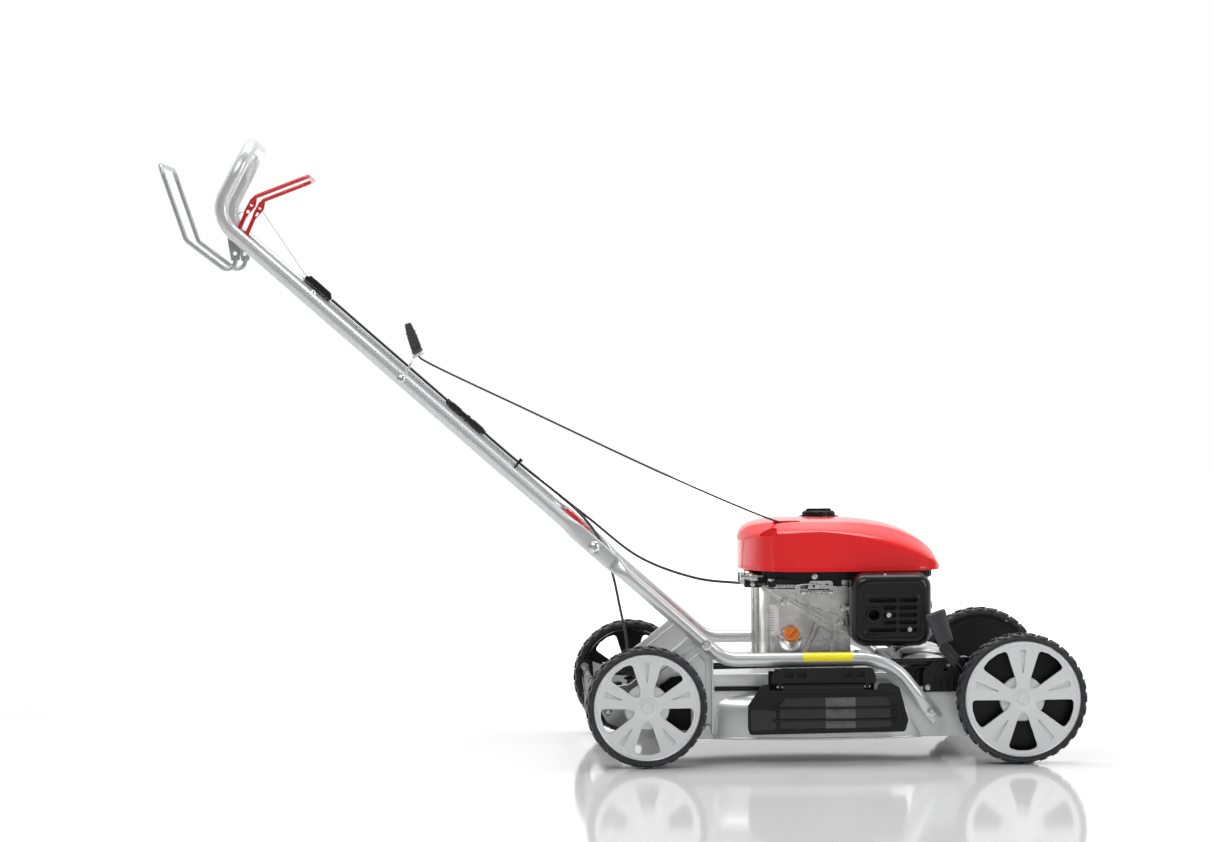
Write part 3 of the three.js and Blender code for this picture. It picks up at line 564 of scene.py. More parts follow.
def fade_to_white(material, near, far):
    """Lets the floor glow white towards the back, so that it meets the backdrop without an edge."""
    nodes, links = material.node_tree.nodes, material.node_tree.links
    place = nodes.new("ShaderNodeTexCoord")
    axes = nodes.new("ShaderNodeSeparateXYZ")
    glow = nodes.new("ShaderNodeMapRange")
    glow.interpolation_type = "SMOOTHSTEP"
    glow.inputs["From Min"].default_value = near
    glow.inputs["From Max"].default_value = far
    shader = nodes["Principled BSDF"]
    shader.inputs["Emission Color"].default_value = (1, 1, 1, 1)
    links.new(place.outputs["Object"], axes.inputs["Vector"])
    links.new(axes.outputs["Y"], glow.inputs["Value"])
    links.new(glow.outputs["Result"], shader.inputs["Emission Strength"])


def stage_and_camera():
    scene = bpy.context.scene
    scene.view_settings.view_transform = "Standard"
    scene.view_settings.look = "None"

    floor_material = surface(
        "floor_paint", (0.83, 0.83, 0.83), 0.07, 0.0, 0.0, (3, 0.01, 0.1),
        (0.6, (0.82, 0.82, 0.82), 0.06, 0.09),
    )
    fade_to_white(floor_material, 0.7, 1.8)
    floor = make(
        "studio_floor", [(-9000, -9000, 0), (9000, -9000, 0), (9000, 9000, 0), (-9000, 9000, 0)],
        [(0, 1, 2, 3)],
    )
    tint(floor, floor_material)

    world = bpy.data.worlds.new("studio")
    scene.world = world
    world.use_nodes = True
    nodes, links = world.node_tree.nodes, world.node_tree.links
    place = nodes.new("ShaderNodeTexCoord")
    axes = nodes.new("ShaderNodeSeparateXYZ")
    ramp = nodes.new("ShaderNodeValToRGB")
    spread = nodes.new("ShaderNodeMapRange")
    spread.inputs["From Min"].default_value = -1
    spread.inputs["From Max"].default_value = 1
    stops = [(0.0, 0.18), (0.28, 0.20), (0.45, 0.42), (0.56, 1.0), (1.0, 1.0)]
    for position, level in stops[1:-1]:
        ramp.color_ramp.elements.new(position).color = (level, level, level, 1)
    for element, level in (
        (ramp.color_ramp.elements[0], stops[0][1]), (ramp.color_ramp.elements[-1], stops[-1][1])
    ):
        element.color = (level, level, level, 1)
    links.new(place.outputs["Generated"], axes.inputs["Vector"])
    links.new(axes.outputs["Y"], spread.inputs["Value"])
    links.new(spread.outputs["Result"], ramp.inputs["Fac"])
    links.new(ramp.outputs["Color"], nodes["Background"].inputs["Color"])
    nodes["Background"].inputs["Strength"].default_value = 1.0

    def softbox(name, at, towards, width, height, watts):
        light = bpy.data.lights.new(name, "AREA")
        light.shape = "RECTANGLE"
        light.size = width
        light.size_y = height
        light.energy = watts
        lamp = bpy.data.objects.new(name, light)
        scene.collection.objects.link(lamp)
        lamp.location = at
        lamp.rotation_euler = (Vector(towards) - Vector(at)).to_track_quat("-Z", "Y").to_euler()
        lamp.visible_camera = False

    softbox("key", (-1.2, -3.0, 3.6), (0.1, 0, 0.4), 2.6, 1.0, 68)
    softbox("fill", (2.8, -2.2, 1.5), (0.2, 0, 0.4), 0.8, 2.0, 30)
    softbox("top", (0.2, 0.4, 3.2), (0.1, 0, 0.3), 3.2, 1.2, 54)

    yaw, pitch, roll = 0.04752, 0.03858, -0.00617
    ahead = Vector((sin(yaw) * cos(pitch), cos(yaw) * cos(pitch), -sin(pitch)))
    right = Vector((cos(yaw), -sin(yaw), 0))
    up = right.cross(ahead)
    across = right * cos(roll) + up * sin(roll)
    upright = up * cos(roll) - right * sin(roll)
    camera = bpy.data.objects.new("camera", bpy.data.cameras.new("camera"))
    scene.collection.objects.link(camera)
    camera.data.sensor_width = 36
    camera.data.lens = 120.6
    camera.data.clip_end = 100
    turn = Matrix((across, upright, -ahead)).transposed().to_4x4()
    camera.matrix_world = Matrix.Translation((-0.3507, -7.0185, 0.84155)) @ turn
    scene.camera = camera


stage_and_camera()

# ---------------------------------------------------------------- wheels

REAR_WHEEL = (34, 102)
FRONT_WHEEL = (664, 110)
TRACK = 260
LUG_PITCH = 23
SPOKES = 5
SPOKE_ANGLES = [360 / SPOKES * k for k in range(SPOKES)]


def tyre(name, x, r):
    """A tyre about (x, -TRACK, r), with angled lugs on both shoulders."""
    bead = r - 12.4
    half = [(bead, 18.6), (bead + 2, 20.4), (r - 6.5, 21.6), (r - 4.2, 20.4), (r - 3.4, 17)]
    profile = [(a, -b) for a, b in half] + [(a, b) for a, b in reversed(half)]
    carcass = lathe(name, profile, (x, -TRACK, r), steps=112, ring=True)
    count = round(2 * pi * r / LUG_PITCH)
    lug = [(-0.30, -22.2), (0.16, -22.2), (0.42, -9), (0.24, -1.5), (-0.02, -1.5), (-0.12, -9)]
    verts = []
    faces = []
    for k in range(count):
        for sign, shift in ((1, 0), (-1, 0.5)):
            start = len(verts)
            for low, radius in ((True, r - 5), (False, r - 0.2)):
                for turn, y in lug:
                    squeeze = 0.92 if not low else 1.0
                    a = 2 * pi * (k + shift + turn * squeeze) / count
                    rr = radius - (2.2 if not low and y < -20 else 0)
                    verts.append(
                        (x + rr * cos(a), -TRACK + sign * y * (1 if low else 0.985), r + rr * sin(a))
                    )
            n = len(lug)
            faces.append(tuple(start + i for i in range(n)))
            faces.append(tuple(start + n + i for i in reversed(range(n))))
            faces += [
                (start + i, start + (i + 1) % n, start + n + (i + 1) % n, start + n + i)
                for i in range(n)
            ]
    lugs = soften(make(name + "_lugs", verts, faces), 0.7, 2, 25)
    ridge = [(r - 12.2, 19.5), (r - 11.2, 21.4), (r - 10.2, 21.4), (r - 9.4, 20.2)]
    lip = [
        lathe(name + "_lip", [(a, s * b) for a, b in ridge], (x, -TRACK, r), steps=112, ring=True)
        for s in (-1, 1)
    ]
    return tint(join(name, carcass, lugs, *lip), TYRE)


def rim(name, x, r, inner_disc):
    """A five-spoke moulded rim about (x, -TRACK, r), its face towards -Y, with one spoke upright."""
    edge = r - 13
    outer = edge - 11.5
    windows = []
    for angle in SPOKE_ANGLES:
        middle = 54 + angle
        corners = [
            polar(outer, middle - 17.2), polar(outer + 1.5, middle - 6), polar(outer + 1.5, middle + 6),
            polar(outer, middle + 17.2), polar(30, middle + 15), polar(21, middle), polar(30, middle - 15),
        ]
        windows.append([(x + u, r + v) for u, v in filleted(corners, [6, 0, 0, 6, 8, 4, 8])])
    disc = arc(x, r, edge - 5.5, 0, 355, 71)
    wedges = []
    wedge = filleted([(44, 0.9), (outer - 2, 5.4), (outer - 2, -5.4), (44, -0.9)], [0.6, 2.5, 2.5, 0.6], 4)
    for angle in SPOKE_ANGLES:
        wedges.append(turned(wedge, radians(90 + angle), x, r))
    base = plate(name, disc, -TRACK - 15.2, -TRACK - 12, holes=windows, bevel=0.4)
    skin = plate(name, disc, -TRACK - 18.6, -TRACK - 15.1, holes=windows + wedges, bevel=0.45, segments=2)
    face = join(name, base, skin)

    def spun(part, profile, steps, ring=True):
        return lathe(f"{name}_{part}", profile, (x, -TRACK, r), steps=steps, ring=ring)

    lip = spun(
        "lip",
        [
            (edge - 7.5, -13), (edge - 7.5, -17.6), (edge - 5.6, -19.6), (edge - 3.4, -19.6),
            (edge - 2.9, -18.9), (edge - 1.2, -19.8), (edge + 0.3, -18.6), (edge + 0.3, -8), (edge - 6, -8),
        ],
        112,
    )
    barrel_wall = [
        (edge - 5.8, -8), (edge + 0.3, -8), (edge + 0.3, 18.5), (edge - 2, 18.5), (edge - 3.2, 14),
    ]
    barrel = spun("barrel", barrel_wall, 112)
    rear_hub = spun("rear_hub", [(6.5, 21.5), (6.5, 0), (38, 0), (38, 6), (20, 9), (17, 21.5)], 64)
    lining = plate(name + "_lining", disc, -TRACK - 12.1, -TRACK - 10.6, holes=windows, bevel=0.3)
    hub = spun(
        "hub", [(6.5, 0), (6.5, -16), (15, -16.4), (16.6, -16), (17, -12), (36, -11), (38, -9), (38, 0)],
        64,
    )
    crown = [
        (0, -19.7), (9.2, -19.6), (9.7, -18.9), (10.3, -18.9), (10.8, -19.5), (13, -19.3), (20, -18.4),
        (20, -17), (0, -17),
    ]
    cap = spun("cap", crown, 48, ring=False)
    dots = []
    for u, v in arc(x, r, 7.5, 20, 260, 2):
        dots.append(pin(name + "_dot", (u, -TRACK - 20, v), (u, -TRACK - 19, v), 0.55, 10, 0.1))
    webs = []
    web = [(16, 1.2), (edge - 6, 1.2), (edge - 6, -1.2), (16, -1.2)]
    for angle in SPOKE_ANGLES:
        shape = turned(web, radians(90 + angle), x, r)
        webs.append(plate(name + "_web", shape, -TRACK - 12, -TRACK + 2, bevel=0.3))
    if inner_disc:
        back = [
            (17.2, 12), (30, 12), (34, 9), (edge - 12, 9), (edge - 8, 12), (edge - 3.4, 12.4),
            (edge - 3.4, 14.2), (edge - 9, 14.2), (edge - 13, 11), (35, 11), (31, 14), (17.2, 14),
        ]
        webs.append(spun("back", back, 96))
    black = tinted(BLACK, *dots, barrel, rear_hub, lining, *webs)
    return join(name, *tinted(RIM, face, lip, hub, cap), *black)


def wheels():
    for end, (x, r), inner in (("rear", REAR_WHEEL, False), ("front", FRONT_WHEEL, True)):
        rubber = tyre(f"tyre_{end}_right_v", x, r)
        hub = rim(f"rim_{end}_right_v", x, r, inner)
        for piece, kind, slot in ((rubber, "tyre", "tyre_rubber"), (hub, "rim", "rim_plastic")):
            twin = mirrored(piece, f"{kind}_{end}_left_v")
            done(piece, f"wheel_{end}_right", slot, f"{kind}_{end}_right")
            done(twin, f"wheel_{end}_left", slot, f"{kind}_{end}_left")


wheels()

# ---------------------------------------------------------------- handle

TUBE_R = 11.5
TUBE_Y = 217
LEG = radians(41.5)
FOLD = (-50, 367.5)
BAIL_PIVOT = (-648, 893)


def on_leg(up, lift, y):
    """A point on a handle leg: distance up from the fold bolt, height over the tube's centre, and Y."""
    return (FOLD[0] - up * cos(LEG) + lift * sin(LEG), y, FOLD[1] + up * sin(LEG) + lift * cos(LEG))


def along_leg(obj):
    """Turns a piece built along -X at the origin onto the leg."""
    return moved(obj, Matrix.Translation((FOLD[0] * MM, 0, FOLD[1] * MM)) @ Matrix.Rotation(LEG, 4, "Y"))


def squared_oval(a, b, power_a, power_b, sides):
    """An oval of half sizes a and b, whose sides go flatter as the powers go under 1."""
    out = []
    for k in range(sides):
        c, s = cos(2 * pi * k / sides), sin(2 * pi * k / sides)
        out.append(
            (a * abs(c) ** power_a * (1 if c >= 0 else -1), b * abs(s) ** power_b * (1 if s >= 0 else -1))
        )
    return out


def tube_section(flat, shift, half_thick=5.4, half_tall=14.2, sides=32):
    """A round section that flattens as flat goes from 0 to 1, and moves sideways by shift."""
    a = TUBE_R + (half_thick - TUBE_R) * flat
    b = TUBE_R + (half_tall - TUBE_R) * flat
    return [(u + shift * flat, v) for u, v in squared_oval(a, b, 1 - 0.5 * flat, 1 - 0.25 * flat, sides)]


def dense(points, step=6):
    """Adds points so that no stretch is longer than step."""
    out = [Vector(points[0])]
    for a, b in zip(points, points[1:]):
        a, b = Vector(a), Vector(b)
        n = max(1, round((b - a).length / step))
        out += [a.lerp(b, k / n) for k in range(1, n + 1)]
    return out


def route_length(points):
    return sum((Vector(b) - Vector(a)).length for a, b in zip(points, points[1:]))


def upper_handle():
    corners = [
        on_leg(74, 0, -TUBE_Y), (-680, -TUBE_Y, 925), (-618, -TUBE_Y, 1044), (-618, TUBE_Y, 1044),
        (-680, TUBE_Y, 925), on_leg(74, 0, TUBE_Y),
    ]
    route = rounded_route(corners, [50, 62, 62, 50], 14)
    parts = [tint(sweep("handle_tube", route, lambda i, far: tube_section(0, 0), first=(0, 1, 0)), TUBE)]
    for s in (-1, 1):
        lap = dense([on_leg(-38, 0, s * TUBE_Y), on_leg(74, 0, s * TUBE_Y)], 8)
        end = sweep(
            "handle_end", lap, lambda i, far: tube_section(1 - ease((far - 74) / 34), -5.8),
            first=(0, -s, 0),
        )
        carve(end, pin("hole", (FOLD[0], s * 205, FOLD[1]), (FOLD[0], s * 240, FOLD[1]), 4.3, 24, 0))
        parts.append(tint(end, TUBE))
    for s in (-1, 1):
        x, z = BAIL_PIVOT
        stud = pin("stud", (x, s * 212, z), (x, s * 182, z), 2.95, 20)
        head = lathe("stud_head", [(0, 0), (6, 0), (6, -1.6), (4.6, -3.2), (0, -3.4)], (x, 0, z), steps=28)
        moved(head, Matrix.Translation((0, s * 184.3 * MM, 0)) @ Matrix.Scale(s, 4, (0, 1, 0)))
        parts += [tint(stud, ZINC), tint(head, ZINC)]
    return join("upper_handle_v", *parts)


def cross_bar_wires():
    """Small wire hooks between the bail plates, which hold the ends of the inner cables."""
    hook = rounded_route([(-652, 196, 916), (-660, 196, 930), (-650, 196, 940), (-640, 196, 928)], 4, 5)
    return tint(rod("cable_hook", hook, 1.3, 10), ZINC)


def bail(name, y, corners, radii, radius, material, plates):
    def side(s):
        return [(x, s * y, z) for x, z in corners]

    wire = rod(name, rounded_route([*side(-1), *reversed(side(1))], radii, 8), radius, 18)
    return join(name, tint(wire, material), *tinted(material, *plates))


def ring_hole(x, z, radius, steps=20):
    return arc(x, z, radius, 0, 360 - 360 / steps, steps - 1)


def bails():
    x, z = BAIL_PIVOT
    stop_plate = filleted(
        [
            (-639, 851), (-636, 882), (-638, 898), (-644, 905), (-653, 905), (-659, 898), (-658, 882),
            (-653, 851),
        ],
        3, 4,
    )
    stop_ends = [
        plate(
            "stop_plate", stop_plate, s * 199 - 1.75, s * 199 + 1.75,
            holes=[ring_hole(x, z, 3.3), ring_hole(-646.5, 863, 3.3)], bevel=0.5,
        )
        for s in (-1, 1)
    ]
    stop = bail(
        "stop_bail_v", 199, [(-646, 856), (-645, 822), (-728, 886), (-770.2, 1011)],
        [14, 14, 20, 20, 14, 14], 3.9, WIRE, stop_ends,
    )
    done(stop, "stop_bail", "zinc", "stop_bail")

    wide = filleted(
        [
            (-655, 893), (-652, 886.5), (-644, 886.5), (-640.5, 893), (-638, 899), (-627, 924), (-612, 941),
            (-609.5, 953), (-613.5, 958.5), (-620, 954), (-630, 936), (-633, 927), (-645, 901.5),
            (-653, 899.5),
        ],
        2.5, 4,
    )
    drive_ends = []
    for s in (-1, 1):
        holes = [ring_hole(x, z, 3.3), ring_hole(-618.5, 944, 2.9)]
        if s < 0:
            holes.append(ring_hole(-624.5, 932.5, 2.9))
        else:
            holes.append(bar((-625, 931), (-623, 934.5), 2.0, 6))
        drive_ends.append(
            plate("drive_plate", wide, s * 189 - 1.75, s * 189 + 1.75, holes=holes, bevel=0.5)
        )
    drive = bail(
        "drive_bail_v", 189, [(-619, 945), (-612, 957.5), (-524, 991)], [8, 20, 20, 8], 3.5, RED_PAINT,
        drive_ends,
    )
    done(drive, "drive_bail", "red_paint", "drive_bail")


def frame_tubes():
    corners = [on_leg(38, 0, -TUBE_Y), (167.5, -TUBE_Y, 175), (445.5, -TUBE_Y, 174), (527, -TUBE_Y, 71)]
    points = dense(rounded_route(corners, [60, 100], 14), 8)
    total = route_length(points)

    def section(i, far):
        if far < total / 2:
            return tube_section(1 - ease((far - 76) / 34), -5.8)
        flat = 0.6 * ease((far - total + 52) / 30)
        return tube_section(flat, -2.5, half_thick=6.5, half_tall=13.4)

    tube = tint(sweep("tube", points, section, first=(0, -1, 0)), TUBE)
    bolts = [
        bolt("bolt", (137, -228.2, 201), (0, -1, 0), 6.3),
        bolt("bolt", (516.5, -225.6, 84), (0, -1, 0), 5.4),
        bolt("bolt", (137, -205.8, 201), (0, 1, 0), 5.6),
    ]
    tube = join("frame_tube_right_v", tube, *bolts)
    twin = mirrored(tube, "frame_tube_left_v")
    done(tube, "chassis", "grey_tube_paint", "frame_tube_right")
    done(twin, "chassis", "grey_tube_paint", "frame_tube_left")

    # The plain sticker on the right-hand tube.
    patch = []
    for x0 in (300, 384):
        for k in range(11):
            patch.append((x0, *polar(TUBE_R + 0.16, 98 + 9.4 * k, -TUBE_Y, 174.4)))
    sticker = make("tube_sticker", patch, [(k, k + 1, k + 12, k + 11) for k in range(10)])
    done(tint(sticker, YELLOW), "chassis", "grey_tube_paint")


def fold_joint():
    x, z = FOLD
    shank = pin("shank", (x, -230, z), (x, -200, z), 3.9)
    head = lathe(
        "head", [(0, -5.6), (5, -5.4), (9, -3.2), (10.4, -1), (10.4, 0), (0, 0)], (x, -228.4, z), steps=36,
    )
    points = [polar(4.4 if k % 2 else 2.0, 36 * k, x, z) for k in range(10)]
    star = plate("star", points, -238, -231.6, bevel=0)
    carve(head, star)
    fixing = join("fold_bolt_right_v", tint(shank, ZINC), tint(head, ZINC))
    twin = mirrored(fixing, "fold_bolt_left_v")
    done(fixing, "chassis", "zinc", "fold_bolt_right")
    done(twin, "chassis", "zinc", "fold_bolt_left")

    hub = lathe("hub", [(4.5, 0), (10, 0), (10, 4), (9, 5), (4.5, 5)], (x, -205, z), steps=32, ring=True)
    handle = [(-4, 4.5), (-20, 5), (-46, 4.6), (-50, 6.5), (-49.5, 9.5), (-46, 11), (-24, 11.2), (-9, 9)]
    lever = along_leg(plate("lever", filleted(handle, 2.2, 4), -205, -201.2, bevel=0.9, segments=3))
    rib = along_leg(
        plate(
            "rib", filleted([(-18, 6.8), (-43, 6.8), (-43, 9.4), (-18, 9.4)], 1.2, 3), -205.4, -204.8,
            bevel=0.15,
        )
    )
    clamp = join("clamp_lever_right_v", tint(hub, RED), tint(lever, RED), tint(rib, RED))
    twin = mirrored(clamp, "clamp_lever_left_v")
    done(clamp, "clamp_lever_right", "red_gloss_plastic", "clamp_lever_right")
    done(twin, "clamp_lever_left", "red_gloss_plastic", "clamp_lever_left")


done(upper_handle(), "upper_handle", "grey_tube_paint", "upper_handle")
bails()
done(cross_bar_wires(), "upper_handle", "zinc")
frame_tubes()
fold_joint()

# ---------------------------------------------------------------- starter rope and cables

GUIDE = (-342, -201.5, 692)
GRIP_TILT = radians(-18.7)
ROPE_EXIT = (300, -63, 387.5)


def rope_guide():
    """A wire eye on a bolted foot."""
    ring = []
    for k in range(34):
        a = 2 * pi * k / 30 + 2.6
        ring.append((8.5 * cos(a), 8.5 * sin(a), 1.6 - 3.2 * k / 33))
    turn = Matrix.Rotation(GRIP_TILT, 3, "Y")
    curl = [turn @ Vector(p) + Vector(GUIDE) for p in ring]
    foot = [Vector((-371, -202.5, 652)), Vector((-364, -202, 660)), Vector((-356, -201.5, 675))]
    wire = rod("guide_wire", smooth_route([*foot, *curl], 90), 2.2, 14)
    washer = lathe("guide_foot", [(0, 0), (7, 0), (7, 1.5), (0, 1.5)], (-371, -205, 652), steps=28)
    nut = bolt("guide_nut", (-371, -203.5, 652), (0, 1, 0), 4.2)
    head = bolt("guide_bolt", (-371, -228, 652), (0, -1, 0), 4.6, socket=True)
    return join("rope_guide_v", tint(wire, ZINC), tint(washer, ZINC), nut, head)


def starter_grip():
    """A T-shaped pull grip, built upright over the guide and leaned with it."""
    body = filleted(
        [
            (-7.5, 6), (7.5, 6), (9, 14), (8.4, 30), (6.2, 50), (5, 55.5), (-5, 55.5), (-6.2, 50),
            (-8.4, 30), (-9, 14),
        ],
        2.2, 4,
    )
    core = plate("grip", body, -8, 8, bevel=2.6, segments=4)
    base = soften(
        lathe(
            "grip_base", [(3.4, 3.2), (8, 3.2), (9.6, 5), (9.4, 9), (7, 11), (3.4, 11)], axis="Z", steps=36,
            ring=True,
        ),
        0.3,
    )
    ribs = [block("grip_rib", -8.6, 8.6, -8.7, 8.7, 17 + 7 * k, 19.6 + 7 * k, 0.8) for k in range(4)]
    side_wings = plate(
        "grip_wings", filleted([(-13, 4), (13, 4), (13, 9.5), (-13, 9.5)], 2, 4), -8, 8, "YZ", bevel=1.4,
        segments=3,
    )
    grip = join("starter_grip_v", core, base, side_wings, *ribs)
    return tint(
        moved(grip, Matrix.Translation(Vector(GUIDE) * MM) @ Matrix.Rotation(GRIP_TILT, 4, "Y")), GRIP,
    )


ROPE_POINTS = [
    (-343.6, -201.5, 697), (-340, -200.7, 687.5), (-330, -198.6, 680.5), (-150, -160, 592), (80, -111, 481),
    (240, -76, 410), ROPE_EXIT,
]
ROPE_R = 1.75
CABLE_R = 2.4
CABLE_LIFT = 15.4
STOP_CABLE_POINTS = [
    on_leg(607, CABLE_LIFT, 216), on_leg(380, CABLE_LIFT, 216), on_leg(166, CABLE_LIFT, 216),
    on_leg(60, 20, 214), on_leg(0, 23, 209), (45, 150, 324), (140, 62, 292), (205, 0, 288), (230, -60, 291),
    (248, -106, 293),
]
DRIVE_CABLE_POINTS = [
    on_leg(607, CABLE_LIFT, 208), on_leg(380, CABLE_LIFT, 208), on_leg(166, CABLE_LIFT, 208),
    on_leg(75, 19, 206), on_leg(28, 19, 195), (-28, 172, 362), (-4, 130, 300), (9, 100, 236), (19, 78, 180),
    (19, 68, 138),
]


def braided(name, points, radius, count, pitch=5.5):
    """A cord with two strands' worth of twist showing on its surface."""
    route = smooth_route(points, count)

    def section(i, far):
        out = []
        for k in range(12):
            a = 2 * pi * k / 12
            r = radius * (0.93 + 0.07 * cos(3 * a + 2 * pi * far / pitch))
            out.append((r * cos(a), r * sin(a)))
        return out

    return sweep(name, route, section)


def cables():
    rope = tint(braided("starter_rope_v", ROPE_POINTS, ROPE_R, 420), RUBBER)
    soft(
        rope, "upper_handle", "chassis", (-300, -190, 665), (240, -76, 410), "black_rubber", "starter_rope",
    )
    lean = Matrix.Rotation(GRIP_TILT, 3, "Y") @ Vector((0, 0, 1))
    low, high = Vector(GUIDE) + lean, Vector(GUIDE) + lean * 9
    cord = tint(rod("starter_cord_v", dense([low, high], 0.5), ROPE_R, 12), RUBBER)
    soft(cord, "upper_handle", "starter_grip", low, high, "black_rubber")
    drive = smooth_route(DRIVE_CABLE_POINTS, 150)
    split = min(range(len(drive)), key=lambda i: (Vector(drive[i]) - Vector(DRIVE_CABLE_POINTS[6])).length)
    stop = smooth_route(STOP_CABLE_POINTS, 150)
    fold = on_leg(60, 15, 210)
    for name, route, first, second, start, end in (
        ("stop_cable", stop, "upper_handle", "chassis", fold, STOP_CABLE_POINTS[5]),
        ("drive_cable", drive[:split + 1], "upper_handle", "chassis", fold, DRIVE_CABLE_POINTS[5]),
        (
            "drive_cable", drive[split:], "chassis", "rear_axle", DRIVE_CABLE_POINTS[7],
            DRIVE_CABLE_POINTS[9]
        ),
    ):
        piece = tint(rod(f"{name}_{second}_v", route, CABLE_R, 14), RUBBER)
        soft(piece, first, second, start, end, "black_rubber", name)


def cable_fittings():
    """What holds the two cables on the left-hand leg."""
    base = along_leg(
        plate(
            "clip",
            filleted(
                [(-668, 11.9), (-608, 11.9), (-608, 17), (-616, 23.6), (-655, 23.6), (-668, 19)], 1.6, 4,
            ),
            203.5, 222.5, bevel=1.0, segments=3,
        )
    )
    top = along_leg(
        plate(
            "clip_top", filleted([(-652, 22), (-630, 22), (-630, 23.9), (-652, 23.9)], 0.6, 3), 207, 219,
            bevel=0.3,
        )
    )
    lug = along_leg(
        plate(
            "clip_lug", filleted([(-664, 14), (-656, 14), (-655, 23.8), (-663, 23.8)], 1.2, 3), 209, 217,
            bevel=0.5,
        )
    )
    clip = join("cable_clip_v", tint(base, BLACK), tint(top, BLACK), tint(lug, BLACK))
    done(clip, "upper_handle", "black_plastic", "cable_clip")
    head = bolt("clip_bolt", on_leg(640, 0, 204.8), (0, -1, 0), 5.2, socket=True)
    done(head, "upper_handle", "zinc")

    barrel_profile = [
        (0, 0), (3.6, 1), (4.2, 6), (5.4, 8), (5.6, 30), (4.4, 34), (4.2, 58), (5.2, 60), (5.2, 76),
        (3.6, 84), (0, 85),
    ]
    barrel = lathe("barrel", barrel_profile, axis="X", steps=24)
    moved(barrel, Matrix.Rotation(pi, 4, "Z"))
    moved(barrel, Matrix.Translation((-246 * MM, 208 * MM, CABLE_LIFT * MM)))
    along_leg(barrel)
    hexagon = [(209 + u, v + CABLE_LIFT) for u, v in circle(6.6, 6)]
    nut = along_leg(plate("nut", hexagon, -290, -285, "YZ", bevel=0.4))
    sleeve = along_leg(pin("sleeve", (-336, 216, CABLE_LIFT), (-298, 216, CABLE_LIFT), 4.0, 20))
    adjuster = join("cable_adjuster", tint(barrel, BLACK), tint(nut, BLACK), tint(sleeve, BLACK))
    done(adjuster, "upper_handle", "black_plastic")

    tie_y, tie_lift = 213, 3.5
    loop = []
    tie_inner = []
    for k in range(40):
        a = 2 * pi * k / 40
        u, v = 15.0 * cos(a), 16.2 * sin(a)
        loop.append((tie_y + u, tie_lift + v))
        tie_inner.append((tie_y + u * 0.92, tie_lift + v * 0.92))
    tie = along_leg(plate("cable_tie", loop, -168.5, -165, "YZ", holes=[tie_inner], bevel=0.2))
    tie_head = along_leg(block("tie_head", -170, -163.5, 204, 210, 18.5, 23.5, 0.8))
    done(tint(join("cable_tie_v", tie, tie_head), BLACK), "upper_handle", "black_plastic")


def inner_wires():
    """The bare inner cables from the clip up to the two bails."""
    for name, start, target, bend_to in (
        ("stop_wire", on_leg(664, 14.5, 216), (-646.5, 202.5, 863), "stop_bail"),
        ("drive_wire", on_leg(664, 16.5, 208), (-618.5, 192.2, 944), "drive_bail"),
    ):
        start, target = Vector(start), Vector(target)
        wire = rod(name, dense([start, target], 8), 0.75, 8)
        hook = rod(name + "_hook", [target + Vector((0, 1, 0)), target + Vector((0, -7, 0))], 0.9, 8)
        piece = tint(join(name + "_v", wire, hook), ZINC)
        soft(piece, "upper_handle", bend_to, start, start.lerp(target, 0.98), "zinc")


done(rope_guide(), "upper_handle", "zinc", "rope_guide")
done(starter_grip(), "starter_grip", "black_plastic", "starter_grip")
cables()
cable_fittings()
inner_wires()

# ---------------------------------------------------------------- deck

DECK_HALF = 201
SHEET = 2
CRANK_X = 318
FRONT_PIVOT = (606, 118)
REAR_PIVOT = (-24, 110)
BULGE_ENDS = [(40, 150, 503), (94, 150, 473), (112, 166, 463), (118, 176, 456), (124, 190, 446)]
BULGE_SHOULDER = [(40, 0), (86, 1.5), (98, 4.5), (107, 9.5), (114, 17), (119, 27), (124, 38)]


def loft(name, loops, caps=True):
    """A skin over loops of equally many points."""
    n = len(loops[0])
    faces = []
    for i in range(len(loops) - 1):
        faces += [
            (i * n + k, i * n + (k + 1) % n, (i + 1) * n + (k + 1) % n, (i + 1) * n + k)
            for k in range(n)
        ]
    if caps:
        faces += [tuple(range(n)), tuple(range((len(loops) - 1) * n, len(loops) * n))]
    return make(name, [p for loop in loops for p in loop], faces)


def solidified(obj, thickness):
    """Thickens an open skin inwards."""
    modifier = obj.modifiers.new("wall", "SOLIDIFY")
    modifier.thickness = thickness * MM
    modifier.offset = -1
    return apply_modifiers(obj)


def bulge_half(x):
    return 202 + 34 * sin(pi * min(max((x - 150) / 353, 0), 1)) ** 0.75


def bulge_loop(z, inset, steps=44):
    start = lookup([(a, b) for a, b, _ in BULGE_ENDS], z) + inset
    end = lookup([(a, c) for a, _, c in BULGE_ENDS], z) - inset
    xs = [start + (end - start) * k / steps for k in range(steps + 1)]
    half = [bulge_half(x) - lookup(BULGE_SHOULDER, z) - inset for x in xs]
    return [(x, -w, z) for x, w in zip(xs, half)] + [(x, w, z) for x, w in reversed(list(zip(xs, half)))]


